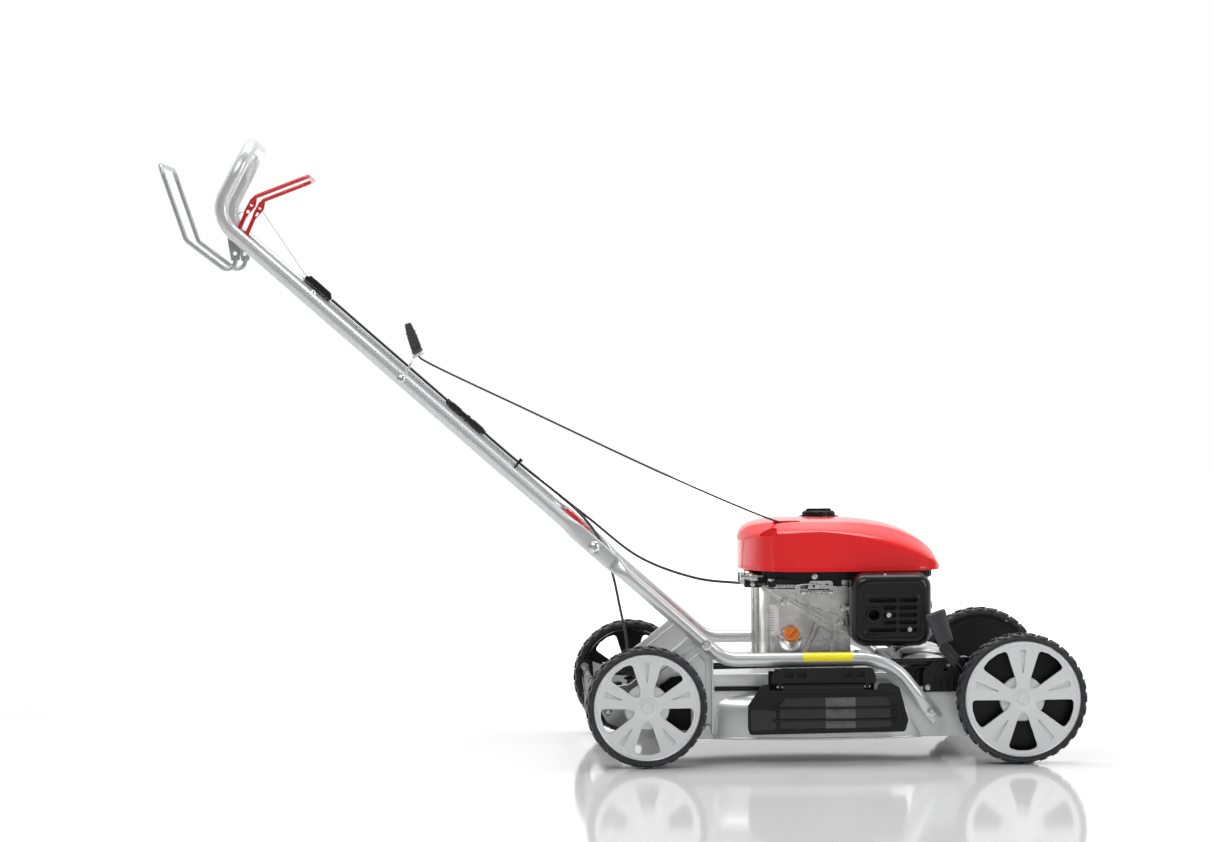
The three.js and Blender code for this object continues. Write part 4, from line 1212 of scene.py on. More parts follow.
def deck():
    side = filleted(
        [(66, 40), (584, 40), (584, 112), (574, 122), (488, 124), (456, 150), (84, 150), (66, 136)],
        [0, 0, 3, 4, 14, 16, 8, 8], 6,
    )
    inner = filleted(
        [(68, 30), (582, 30), (582, 111), (573, 120), (487, 122), (455, 148), (85, 148), (68, 135)], 3, 3,
    )
    levels = [40, 62, 80, 90, 97, 103, 108, 112, 116, 119, 121.5, 124]
    bar_x, bar_z = FRONT_PIVOT
    body = soften(plate("deck_body", side, -DECK_HALF, DECK_HALF, bevel=0), 3, 3, 60)
    bulge = loft("bulge", [bulge_loop(z, 0) for z in levels])
    mouth = [(x, y, 30) for x, y, _ in bulge_loop(levels[0], SHEET)]
    hollow = loft("bulge_inside", [mouth, *[bulge_loop(z, SHEET) for z in levels[1:-1]]])
    for vertex in hollow.data.vertices:
        if vertex.co.z > 0.1:
            vertex.co.z -= SHEET * MM
    combine(body, bulge, "UNION")
    tools = [
        plate("deck_inside", inner, SHEET - DECK_HALF, DECK_HALF - SHEET, bevel=0), hollow,
        pin("bore", (CRANK_X, 0, 140), (CRANK_X, 0, 160), 32, 48, 0),
        pin("bar_bore", (bar_x, -210, bar_z), (bar_x, 210, bar_z), 8.4, 24, 0),
        block("belt_gap", 60, 92, -36, 36, 126, 152, 0), block("outlet", 225, 445, -245, -196, 54, 98, 0),
    ]
    carve(body, *tools)

    ear = filleted([(560, 42), (650, 42), (650, 128), (630, 138), (560, 122)], [0, 10, 6, 8, 0], 5)
    ears = [
        plate(
            "ear", ear, *sorted((s * (DECK_HALF + 0.35), s * (DECK_HALF - SHEET + 0.35))),
            holes=[ring_hole(*FRONT_PIVOT, 8.4, 28)], bevel=0.5,
        )
        for s in (-1, 1)
    ]
    rims = []
    for s in (-1, 1):
        edge = [(x, s * (bulge_half(x) - 0.6), 42.2) for x in range(152, 503, 9)]
        rims.append(rod("rolled_edge", edge, 2.2, 12))
    collar = lathe(
        "collar", [(32.4, 149.5), (118, 149.5), (118, 150.1), (113, 151.6), (36, 151.6), (32.4, 150.6)],
        (CRANK_X, 0, 0), "Z", 72, True,
    )
    centre = Matrix.Translation((CRANK_X * MM, 0, 0))
    moved(collar, centre @ Matrix.Scale(0.78, 4, (1, 0, 0)) @ centre.inverted())
    leaves = []
    rise = [(0, -1), (0.34, -0.9), (0.62, -0.72), (0.86, -0.4), (1, 0)]
    for x, y, z, half in ((514, 145, 165, (36, 24, 11)), (522, 48, 170, (42, 26, 10))):
        for s in (-1, 1):
            leaf = lathe("leaf", rise + [(u, -v) for u, v in reversed(rise[:-1])], axis="X", steps=32)
            moved(leaf, Matrix.Translation(Vector((x, s * y, z)) * MM) @ Matrix.Diagonal((*half, 1)))
            leaves.append(leaf)
    nose = [
        plate(
            "nose",
            filleted(
                [(462, 140), (470, 155), (548, 158), (572, 148), (580, 121), (480, 121)],
                [5, 8, 10, 8, 4, 4], 5,
            ),
            -177, 177, bevel=3, segments=4,
        ),
        plate(
            "nose_crown", filleted([(470, 150), (480, 164), (556, 166), (566, 150)], [5, 6, 8, 5], 5), -100,
            100, bevel=4, segments=4,
        ),
    ]
    nose += [pin("nose_post", (x, -181, 124), (x, -181, 150), 4.5, 20, 0.8) for x in (500, 532)]
    parts = tinted(SILVER, body, collar, *ears, *rims, *leaves) + tinted(BLACK, *nose)
    bolts = [bolt("deck_bolt", (x, s * 150, 150), (0, 0, 1), 5.2) for x in (112, 430) for s in (-1, 1)]
    bolts += [bolt("ear_bolt", (636, s * 201, 60), (0, s, 0), 4.4) for s in (-1, 1)]
    return join("deck_v", *parts, *bolts)


FLAP_ROD = (-50, 126)
BRACKET = [
    (-59, 118), (-44, 98), (-30, 70), (40, 44), (120, 44), (150, 50), (150, 182), (146, 200), (124, 220),
    (108, 210), (56, 168), (10, 132), (-20, 128), (-42, 136), (-59, 134),
]
BRACKET_CORNERS = [4, 6, 12, 14, 10, 8, 6, 8, 6, 5, 4, 12, 14, 4, 4]


def rear_bracket():
    outline = filleted(BRACKET, BRACKET_CORNERS, 5)
    ahead, drop = REAR_WHEEL[0] - REAR_PIVOT[0], REAR_PIVOT[1] - REAR_WHEEL[1]
    reach, level, swing = hypot(ahead, drop), -degrees(atan2(drop, ahead)), 30
    slot = [
        *arc(*REAR_PIVOT, reach + 7, level - swing, level + swing, 12),
        *arc(*REAR_PIVOT, reach - 7, level + swing, level - swing, 12),
    ]
    holes = [slot, ring_hole(*REAR_PIVOT, 8.4, 24), ring_hole(*FLAP_ROD, 4.4, 16)]
    sheet = plate("bracket", outline, -DECK_HALF - 2.3, -DECK_HALF - 0.3, holes=holes, bevel=0.5)
    panels = []
    for panel in (
        [(62, 60), (118, 60), (138, 66), (138, 172), (126, 186), (62, 138)],
        [(58, 148), (122, 196), (124, 208), (110, 200), (54, 155)],
    ):
        outside = filleted(panel, 5, 5)
        middle = Vector((sum(u for u, _ in outside), sum(v for _, v in outside))) / len(outside)
        inside = [tuple(middle + (Vector(p) - middle) * 0.93) for p in outside]
        low = [(u, -DECK_HALF - 2.2, v) for u, v in outside]
        high = [(u, -DECK_HALF - 4.2, v) for u, v in inside]
        panels.append(loft("panel", [low, high]))
    flange = plate(
        "flange",
        filleted(
            [
                (-DECK_HALF - 0.3, 46), (-DECK_HALF - 11, 50), (-DECK_HALF - 11, 176),
                (-DECK_HALF - 0.3, 182),
            ],
            [0, 4, 4, 0], 4,
        ),
        146.5, 149.6, "YZ", bevel=0.8, segments=3,
    )
    ring = lathe(
        "pivot_ring", [(8.6, -1.2), (14, -1.2), (14, -3.4), (12, -4.2), (8.6, -4.2)],
        (REAR_PIVOT[0], -DECK_HALF, REAR_PIVOT[1]), steps=40, ring=True,
    )
    edges = [tint(along_slope(-DECK_HALF), SILVER), tint(inner_rib(), SILVER)]
    parts = tinted(SILVER, sheet, flange, ring, *panels)
    heads = [
        bolt("bracket_bolt", (x, -DECK_HALF - 2.3, z), (0, -1, 0), 5)
        for x, z in ((140, 60), (72, 54), (-28, 88))
    ]
    lug = filleted(
        [(-59.6, 117), (-45, 97), (-36, 82), (-34, 98), (-36, 136.4), (-42, 136.8), (-59.6, 134.8)],
        [4, 6, 4, 3, 4, 4, 4], 4,
    )
    lug = plate(
        "flap_lug", lug, -DECK_HALF - 2.8, -DECK_HALF + 0.2, holes=[ring_hole(*FLAP_ROD, 4.5, 16)],
        bevel=0.4,
    )
    shield = plate(
        "belt_shield",
        filleted(
            [(46, 56), (112, 56), (112, 132), (102, 150), (78, 146), (46, 122)], [5, 6, 8, 8, 6, 6], 5,
        ),
        -DECK_HALF - 6.4, -DECK_HALF - 2.2, bevel=1.2, segments=3,
    )
    crease = rod("shield_rib", [(58, -DECK_HALF - 6.4, 122), (92, -DECK_HALF - 6.4, 141)], 1.3, 10)
    return join("rear_bracket_right_v", *parts, *edges, *heads, *tinted(BLACK, lug, shield, crease))


def along_slope(y):
    """The folded edge along the bracket's upper slope."""
    edge = [
        (-18, y - 3, 129.4), (9, y - 3, 133.4), (57, y - 3, 169.8), (108, y - 3, 211), (123.5, y - 3, 219),
    ]
    return rod("folded_edge", rounded_route(edge, 5, 5), 2.1, 12)


def inner_rib():
    """A pressed rib on the inner side, parallel to the upper slope."""
    y = -DECK_HALF + 0.6
    edge = [(24, y, 132), (66, y, 164), (108, y, 198), (118, y, 194), (128, y, 182)]
    return rod("pressed_rib", rounded_route(edge, 6, 5), 1.7, 10)


HINGE = (-242.5, 131)
WINDOW_Z = (58, 115)


def flap_bracket():
    front = filleted([(245, 137), (421, 137), (420, 150), (413, 162.6), (262, 162.6), (246, 150)], 2.5, 4)
    slots = []
    for x in (268, 290, 366, 388):
        slots.append([(x, 147), (x + 13, 147), (x + 13, 156), (x, 156)])
    strip = plate("strip", front, -247, -242, holes=slots, bevel=0.7, segments=3)
    backing = block("strip_back", 250, 416, -242.5, -239, 139, 161, 0.6)
    shelf = block("shelf", 250, 415, -242, -DECK_HALF - 0.3, 150, 154, 1.4)
    rear_wall = block("strip_wall", 243, 422, -206, -DECK_HALF - 0.3, 121, 154, 0.8)
    seal = block("strip_seal", 152, 245, -206, -DECK_HALF - 0.3, 121, 129, 1.6)
    lip = rod("strip_lip", [(252, -246.8, 138.6), (414, -246.8, 138.6)], 1.3, 10)
    ribs = [block("strip_rib", x, x + 1.6, -248, -245.5, 143, 160, 0.4) for x in (286.5, 384)]
    tabs = []
    for a, b in ((256, 262), (403, 409)):
        tabs.append(pin("tab", (a, *HINGE), (b, *HINGE), 4.2, 24, 0.5))
        tabs.append(block("tab_web", a, b, -246, -240, 131, 139, 0.5))
    hinge_pin = pin("hinge_pin", (254, *HINGE), (411, *HINGE), 2.5, 16)
    parts = tinted(BLACK, strip, backing, shelf, rear_wall, seal, lip, *ribs, *tabs)
    return join("flap_bracket_v", *parts, tint(hinge_pin, ZINC))


def discharge_flap():
    outline = filleted(
        [
            (208, 51), (470, 54), (475, 74), (460, 129), (446, 136), (426, 136), (424, 125), (401, 125),
            (401, 129), (264, 129), (264, 125), (241, 125), (239, 136), (228, 134), (205, 100), (205, 62),
        ],
        [5, 6, 6, 8, 5, 3, 1, 1, 0.5, 0.5, 1, 1, 3, 6, 6, 5], 4,
    )
    window = filleted(
        [(258, 59), (449, 60), (445.5, 104), (437, 114), (268, 113), (257, 100)], [5, 6, 8, 5, 5, 6], 5,
    )
    frame_plate = plate("flap_frame", outline, -246, -242.6, holes=[window], bevel=0.8, segments=3)
    backing = plate(
        "flap_back", [(v[0] * 0.985 + 5, v[1] * 0.95 + 4.5) for v in outline], -243.4, -241, bevel=0.3,
    )
    border = [(u, -246.6, v) for u, v in window]
    bead = rod("window_bead", [*border, border[0]], 0.9, 8)
    folds = [(257, -243.8), (297, -244.8), (336, -243.5), (386, -244.9), (450, -243.7)]
    verts = [(x, y, z) for x, y in folds for z in WINDOW_Z]
    verts += [(x, -243, z) for x, _ in folds for z in WINDOW_Z]
    n = 2 * len(folds)
    faces = [(2 * k, 2 * k + 2, 2 * k + 3, 2 * k + 1) for k in range(len(folds) - 1)]
    faces += [(n + 2 * k, n + 2 * k + 1, n + 2 * k + 3, n + 2 * k + 2) for k in range(len(folds) - 1)]
    panes = [make("panes", verts, faces[:2] + faces[3:])]
    # The pane between the two middle folds is lighter grey. It is a painted reflection of the glare on the
    # glossy window.
    painted_reflection_pane = tint(make("painted_reflection_pane", verts[4:8], [(0, 2, 3, 1)]), PAINTED_REFLECTION)
    bars = []
    for z in (75, 95):
        bars.append(rod("flap_rib", [(251, -247.6, z), (455, -247.6, z)], 1.9, 12))
        bars += [pin("rib_end", (x, -250.4, z), (x, -245, z), 2.9, 20, 0.7) for x in (250, 456)]
    facet = [(209, 95), (252, 92), (253, 60), (210, 58)]
    low_panel = plate("low_panel", filleted(facet, 4, 4), -246.9, -245.5, bevel=0.6)
    seam = rod(
        "flap_seam",
        rounded_route(
            [
                (228, -246.2, 131), (243, -246.4, 119), (452, -246.4, 119), (462, -246.2, 110),
                (468, -246.2, 75),
            ],
            6, 5,
        ),
        0.8, 8,
    )
    knuckle = lathe("knuckle", [(2.9, 264), (5.4, 264), (5.4, 401), (2.9, 401)], (0, *HINGE), "X", 28, True)
    hooks = [block("flap_hook", x, x + 9, -247.6, -243, 122, 129.5, 0.7) for x in (272, 384)]
    dull = tinted(BLACK, frame_plate, backing, bead, knuckle, seam, *hooks, *bars)
    shiny = tinted(GLOSS_BLACK, *panes, low_panel)
    return join("discharge_flap_v", *dull, *shiny, painted_reflection_pane)


def rear_flap():
    """A ribbed rubber sheet on its rod."""
    x, top = FLAP_ROD
    front = []
    steps = 78
    for k in range(steps + 1):
        front.append((x + (1.3 if k % 6 else 2.4), -195 + 390 * k / steps))
    outline = front + [(x - 1.3, 195), (x - 1.3, -195)]
    loops = []
    for z, shift in ((50, -0.2), (51.5, 0), (80, 0), (110, 0), (top - 1.5, 0)):
        loops.append([(u + shift, y, z) for u, y in outline])
    sheet = tint(loft("flap_sheet", loops), RUBBER)
    bars = [block("flap_bar", x - 2.6, x - 0.4, -192, 192, z, z + 5, 0.8) for z in (56, 84, 112)]
    roll = tint(pin("flap_rod", (x, -204, top), (x, 204, top), 4, 24), STEEL)
    wraps = [
        tint(pin("flap_wrap", (x, y, top), (x, y + 60, top), 5.2, 24, 0.8), RUBBER)
        for y in (-150, -60, 90)
    ]
    clips = [
        tint(pin("flap_clip", (x, s * 195, top), (x, s * 199, top), 6.6, 24, 0.6), ZINC)
        for s in (-1, 1)
    ]
    return join("rear_flap_v", sheet, *tinted(RUBBER, *bars), roll, *wraps, *clips)


done(deck(), "chassis", "silver_paint", "deck", sharp=32)
right_bracket = rear_bracket()
left_bracket = mirrored(right_bracket, "rear_bracket_left_v")
done(right_bracket, "chassis", "silver_paint", "rear_bracket_right")
done(left_bracket, "chassis", "silver_paint", "rear_bracket_left")
done(flap_bracket(), "chassis", "black_plastic", "flap_bracket")
done(discharge_flap(), "discharge_flap", "black_plastic", "discharge_flap")
done(rear_flap(), "rear_flap", "black_rubber", "rear_flap")

# ---------------------------------------------------------------- height adjustment

LINK_Y = -186
LINK_ARM = 50


def arm(name, start, end, radius, y0, y1):
    """A flat arm with a boss at each end."""
    low, high = sorted((y0, y1))
    strap = plate(name, bar(start, end, radius * 0.82, 10), low, high, bevel=0.7)
    boss = [
        (0, low - 0.4), (radius - 1, low - 0.4), (radius, low + 0.6), (radius, high - 0.6),
        (radius - 1, high + 0.4), (0, high + 0.4),
    ]
    return [strap, *[lathe(name + "_boss", boss, (x, 0, z), steps=36) for x, z in (start, end)]]


def pivot_bar(name, pivot, wheel, arm_y):
    x, z = pivot
    pieces = [pin(name, (x, -arm_y, z), (x, arm_y, z), 8, 32, 0.6)]
    for s in (-1, 1):
        pieces += arm(name + "_arm", pivot, wheel, 13, s * (arm_y - 3), s * (arm_y + 3))
        pieces.append(pin(name + "_collar", (x, s * 190, z), (x, s * 197.5, z), 11.5, 32, 0.8))
    top = z + LINK_ARM
    pieces += arm(name + "_link_arm", pivot, (x, top), 10, LINK_Y, LINK_Y + 5)
    stud = pin(name + "_stud", (x, LINK_Y - 9, top), (x, LINK_Y + 1, top), 2.9, 20)
    wall = [(3, LINK_Y - 8), (5.2, LINK_Y - 8), (5.2, LINK_Y - 7.2), (3, LINK_Y - 7.2)]
    clip = lathe(name + "_clip", wall, (x, 0, top), steps=24, ring=True)
    return [*tinted(BLACK_PAINT, *pieces), *tinted(ZINC, stud, clip)]


def stub(x, z, s, start):
    """The end of a wheel's shaft, with the spacer behind the wheel."""
    shaft = pin("stub", (x, s * start, z), (x, s * 276, z), 6, 28, 0.8)
    washer = pin("stub_washer", (x, s * 233, z), (x, s * 237.6, z), 9, 28, 0.4)
    return [tint(shaft, ZINC), tint(washer, ZINC)]


def axles():
    rear = join("rear_axle_v", *pivot_bar("rear_axle", REAR_PIVOT, REAR_WHEEL, 213))
    x, z = REAR_WHEEL
    carve(rear, pin("bore", (x, -220, z), (x, 220, z), 6.3, 28, 0))
    done(rear, "rear_axle", "dark_steel", "rear_axle")
    stubs = [*stub(*FRONT_WHEEL, -1, 229), *stub(*FRONT_WHEEL, 1, 229)]
    front = join("front_axle_v", *pivot_bar("front_axle", FRONT_PIVOT, FRONT_WHEEL, 229), *stubs)
    done(front, "front_axle", "dark_steel", "front_axle")

    start, end = (REAR_PIVOT[0], REAR_PIVOT[1] + LINK_ARM), (FRONT_PIVOT[0], FRONT_PIVOT[1] + LINK_ARM)
    strap = plate(
        "link", bar(start, end, 5.4, 10), LINK_Y - 6.4, LINK_Y - 1.6,
        holes=[ring_hole(*start, 3.3), ring_hole(*end, 3.3)], bevel=0.9, segments=3,
    )
    eyes = [
        lathe(
            "link_eye", [(3.3, LINK_Y - 7), (7, LINK_Y - 7), (7, LINK_Y - 1), (3.3, LINK_Y - 1)],
            (p[0], 0, p[1]), steps=32, ring=True,
        )
        for p in (start, end)
    ]
    groove = [
        rod(
            "link_rib",
            [(start[0] + 30, LINK_Y - 6.6, start[1] + 0.5), (end[0] - 30, LINK_Y - 6.6, end[1] - 0.5)], 1.5,
            10,
        )
    ]
    done(tint(join("link_rod_v", strap, *eyes, *groove), BLACK_PAINT), "link_rod", "dark_steel", "link_rod")


def height_lever():
    knee = (541, 190)
    low, high = -216.5, -211.5
    lever = plate(
        "lever", bar(FRONT_PIVOT, knee, 10, 10), low, high, holes=[ring_hole(*FRONT_PIVOT, 8.3, 28)],
        bevel=0.9, segments=3,
    )
    hub = lathe(
        "lever_hub",
        [(8.3, low - 0.6), (13, low - 0.6), (14, low + 0.6), (14, high - 0.6), (13, high), (8.3, high)],
        (FRONT_PIVOT[0], 0, FRONT_PIVOT[1]), steps=36, ring=True,
    )
    rib = rod("lever_rib", [(598, low - 0.2, 126), (545, low - 0.2, 185)], 1.6, 10)
    done(
        tint(join("height_lever_v", lever, hub, rib), GLOSS_BLACK), "front_axle", "black_plastic",
        "height_lever",
    )

    low_end, high_end = Vector((542.5, -214.2, 200)), Vector((524, -214.2, 252))
    way = (high_end - low_end).normalized()
    length = (high_end - low_end).length
    widths = [(0, 12.5), (0.05, 13.8), (0.45, 15.4), (0.8, 17.6), (0.93, 18.2), (0.985, 17.2), (1, 15.5)]
    thick = [(0, 5.6), (0.05, 6.8), (0.45, 7.3), (0.8, 7.7), (0.95, 7.2), (1, 5.2)]
    stations = [0, 0.02, 0.05, 0.15, 0.3, 0.45, 0.6, 0.7, 0.8, 0.87, 0.93, 0.96, 0.985, 1]
    route = [low_end + way * length * s for s in stations]

    def section(i, far):
        return squared_oval(lookup(thick, stations[i]), lookup(widths, stations[i]), 0.7, 0.75, 28)

    grip = sweep("grip", route, section, first=(0, 1, 0))
    centre = low_end + way * length * 0.46
    dimple = lathe(
        "dimple", [(0, -7), (3, -6.8), (5.4, -5.4), (6.4, -3), (6.4, 0), (0, 0)],
        (centre.x, -220.6, centre.z), steps=28,
    )
    carve(grip, dimple)
    ridges = []
    for k in range(3):
        at = low_end + way * length * (0.72 + 0.07 * k)
        ridges.append(
            rod("grip_ridge", [(at.x - 6, -221.6, at.z - 2.4), (at.x + 6, -221.6, at.z + 2.4)], 0.8, 8)
        )
    done(
        tint(join("height_grip_v", grip, *ridges), GRIP), "front_axle", "black_plastic", "height_grip",
        sharp=50,
    )


def height_quadrant():
    outline = filleted(
        [(505, 116), (578, 116), (578, 140), (562, 166), (520, 166), (505, 150)], [3, 3, 6, 8, 8, 6], 5,
    )
    notches = [ring_hole(*polar(72, a, *FRONT_PIVOT), 3.5, 14) for a in (135, 143, 151)]
    sheet = plate("quadrant", outline, -206, -DECK_HALF - 0.3, holes=notches, bevel=0.7)
    ledge = rod("quadrant_edge", [(x, -206.2, z) for x, z in arc(*FRONT_PIVOT, 84, 133, 152, 10)], 1.4, 8)
    bolts = [bolt("quadrant_bolt", (x, -206, z), (0, -1, 0), 3.6) for x, z in ((513, 124), (570, 124))]
    ribs = [block("quadrant_rib", x, x + 2, -209.5, -205.5, 118, 140, 0.5) for x in (524, 534, 544, 554)]
    return join("height_quadrant_v", *tinted(BLACK, sheet, ledge, *ribs), *bolts)


axles()
height_lever()
done(height_quadrant(), "chassis", "black_plastic", "height_quadrant")

# ---------------------------------------------------------------- rear drive

GEARBOX_X = 20
CLUTCH_PIVOT = (42, 33)
CLUTCH_TIP = (19, 68)
BELT_Z = (134.4, 142.6)


def grooved_pulley(name, x, groove, bore, low=None):
    """A sheet pulley with a V groove for the belt."""
    z0, z1 = BELT_Z
    over = groove + 6.5
    profile = [
        (bore, z0 - 3), (over - 0.6, z0 - 3), (over, z0 - 2.2), (over, z0 - 1.2), (groove, z0 + 0.2),
        (groove, z1 - 0.2), (over, z1 + 1.2), (over, z1 + 2.2), (over - 0.6, z1 + 3), (bore, z1 + 3),
    ]
    if low:
        profile = [
            (0, low), (4.4, low), (5, low + 0.6), (5, z0 - 3), *profile[1:-1], (groove * 0.8, z1 + 3),
            (groove * 0.7, z1 + 1.8), (7, z1 + 1.8), (6.4, z1 + 3), (0, z1 + 3),
        ]
    return lathe(name, profile, (x, 0, 0), "Z", 56, ring=not low)


def gearbox():
    halves = []
    for z0, z1 in ((78, 100.5), (101.5, 124)):
        outline = filleted([(4, -42), (54, -42), (54, 42), (4, 42)], 7, 5)
        halves.append(plate("gear_case", outline, z0, z1, "XY", bevel=2.5, segments=3))
    seam = plate(
        "case_flange", filleted([(2, -44), (56, -44), (56, 44), (2, 44)], 7, 5), 99, 103, "XY", bevel=0.8,
    )
    ribs = [block("case_rib", 3, 55, y, y + 2.5, 80, 121, 0.7) for y in (-30, -18, 16, 28)]
    x, z = REAR_WHEEL
    collars = [pin("case_collar", (x, s * 42, z), (x, s * 47, z), 13, 32, 1) for s in (-1, 1)]
    anchor = plate(
        "anchor", filleted([(-12, -12), (6, -12), (6, 12), (-12, 12)], 4, 4), 102, 118, "XY", bevel=1.5,
        segments=3,
    )
    neck = pin("input_neck", (GEARBOX_X, 0, 122), (GEARBOX_X, 0, 126), 10, 32, 0.8)
    shell = join("gearbox_v", *halves, seam, *ribs, *collars, anchor, neck)
    shaft_bore = pin("bore", (x, -60, z), (x, 60, z), 6.3, 28, 0)
    input_bore = pin("bore", (GEARBOX_X, 0, 110), (GEARBOX_X, 0, 128), 5.3, 24, 0)
    carve(shell, shaft_bore, input_bore)
    stud = tint(pin("clutch_stud", (*CLUTCH_PIVOT, 122), (*CLUTCH_PIVOT, 130), 2.5, 20), ZINC)
    bolts = [
        bolt("case_bolt", (u, v, 103), (0, 0, 1), 3)
        for u, v in ((8, -38), (50, -38), (8, 38), (50, 38))
    ]
    return join("gearbox_v", tint(shell, BLACK), stud, *bolts)


def rear_drive():
    done(gearbox(), "rear_axle", "black_plastic", "gearbox")

    x, z = REAR_WHEEL
    shaft = pin("shaft", (x, -213, z), (x, 213, z), 6, 32)
    rings = []
    for y in (-207, -50, 49, 206):
        wall = [(6, y), (7.6, y), (7.6, y + 1), (6, y + 1)]
        rings.append(lathe("circlip", wall, (x, 0, z), steps=28, ring=True))
    stubs = [*stub(x, z, -1, 212), *stub(x, z, 1, 212)]
    piece = join("drive_shaft_v", tint(shaft, ZINC), *tinted(STEEL, *rings), *stubs)
    done(piece, "drive_shaft", "zinc", "drive_shaft")

    holes = [ring_hole(*CLUTCH_PIVOT, 2.8, 20), ring_hole(*CLUTCH_TIP, 1.6, 14)]
    lever = plate(
        "clutch", bar(CLUTCH_PIVOT, CLUTCH_TIP, 5.6, 10), 124.4, 127.8, "XY", holes=holes, bevel=0.5,
    )
    rib = rod("clutch_rib", [(38, 39, 127.9), (23, 62, 127.9)], 1.0, 8)
    spring = []
    for k in range(90):
        a = 2 * pi * k / 10
        spring.append((24 + 0.24 * k + 0.66 * cos(a), 58 + 2.4 * cos(a), 131.6 + 2.4 * sin(a)))
    coil = rod("clutch_spring", spring, 0.55, 6)
    done(tint(join("clutch_lever_v", lever, rib, coil), ZINC), "clutch_lever", "zinc", "clutch_lever")

    done(
        tint(grooved_pulley("gearbox_pulley_v", GEARBOX_X, 24, 0, 113), STEEL), "gearbox_pulley",
        "dark_steel", "gearbox_pulley",
    )
    done(
        tint(grooved_pulley("drive_pulley_v", CRANK_X, 20, 11.4), STEEL), "crank", "dark_steel",
        "drive_pulley",
    )

    big, small = 24.4, 20.4
    distance = CRANK_X - GEARBOX_X
    lean = degrees(acos((big - small) / distance))
    ring = arc(CRANK_X, 0, small, -lean, lean, 24) + arc(GEARBOX_X, 0, big, lean, 360 - lean, 28)
    route = []
    flat = [Vector((u, v, 0)) for u, v in ring]
    for a, b in zip(flat, [*flat[1:], flat[0]]):
        count = max(1, round((b - a).length / 6))
        route += [a.lerp(b, k / count) for k in range(count)]
    n = len(route)
    section = [(0, 1.0), (0, 7.2), (6.3, 8.2), (6.9, 7.6), (6.9, 0.6), (6.3, 0)]
    loops = []
    for u, v in section:
        loop = []
        for i, p in enumerate(route):
            way = (route[(i + 1) % n] - route[i - 1]).normalized()
            out = Vector((way.y, -way.x, 0))
            notch = 0.8 if u == 0 and i % 2 else 0
            q = p + out * (u + notch)
            loop.append((q.x, q.y, BELT_Z[0] + v))
        loops.append(loop)
    belt = tint(loft("drive_belt_v", [*loops, loops[0]], caps=False), RUBBER)
    belt.data.shade_smooth()
    belt.data.set_sharp_from_angle(angle=radians(38))
    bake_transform(belt)
    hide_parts("drive_belt")


rear_drive()

# ---------------------------------------------------------------- engine

COVER_TOP = [
    (209, 368), (213, 379), (220, 386), (230, 391), (253, 396), (280, 397), (396, 396.5), (420, 395),
    (442, 392), (462, 388), (482, 382), (502, 373), (520, 362), (532, 352), (541, 340), (549, 322),
]
COVER_SHOULDER = [
    (209, 362), (225, 369), (260, 377), (300, 381), (339, 382), (375, 379), (410, 373), (450, 364),
    (482, 354), (515, 341), (538, 328), (549, 319),
]
COVER_BOTTOM = 315
COVER_REAR = 209
COVER_NOSE = 549
COVER_HALF = 127.6
COVER_MIDDLE = 372
COVER_NECK = CRANK_X - COVER_REAR
COVER_STATIONS = [
    *[CRANK_X - COVER_NECK * cos(radians(3 * k)) for k in range(31)], *range(324, 532, 8), 534, 538, 541,
    544, 546.5, 548, COVER_NOSE,
]


def cover_half(x):
    """Half the cover's width: half an ellipse behind the crankshaft and a narrowing nose."""
    if x <= CRANK_X:
        return COVER_HALF * max(1 - ((CRANK_X - x) / COVER_NECK) ** 2, 0) ** 0.5
    narrowing = [
        (CRANK_X, COVER_HALF), (372, COVER_HALF), (430, 125.6), (470, 120.5), (514, 111.4), (532, 103),
        (540, 97), (545, 88), (COVER_NOSE, 74),
    ]
    return lookup(narrowing, x)


def cover_outline(inset=0.0):
    """The cover's plan, from the middle of its nose round the right-hand side and back."""
    length = 169
    right = []
    for x in COVER_STATIONS:
        along = COVER_MIDDLE + (x - COVER_MIDDLE) * (length - inset) / length
        right.append((along, cover_half(x) * (1 - inset / COVER_HALF)))
    return [(x, -y) for x, y in reversed(right)] + right[1:]


CAP_AT = (358, 88)
COLUMN = (263, -74)
CASE_BORE = 14.3
PORT = (426, 245)
BRAKE_PIVOT = (266, -107)
BRAKE_TIP = (304, -105)

CROWN = [
    (0, 1), (0.13, 0.995), (0.26, 0.978), (0.38, 0.955), (0.48, 0.928), (0.55, 0.905), (0.60, 0.880),
    (0.635, 0.835), (0.67, 0.765), (0.74, 0.645), (0.82, 0.50), (0.90, 0.345), (0.96, 0.20), (0.985, 0.10),
    (1.0, 0.0),
]


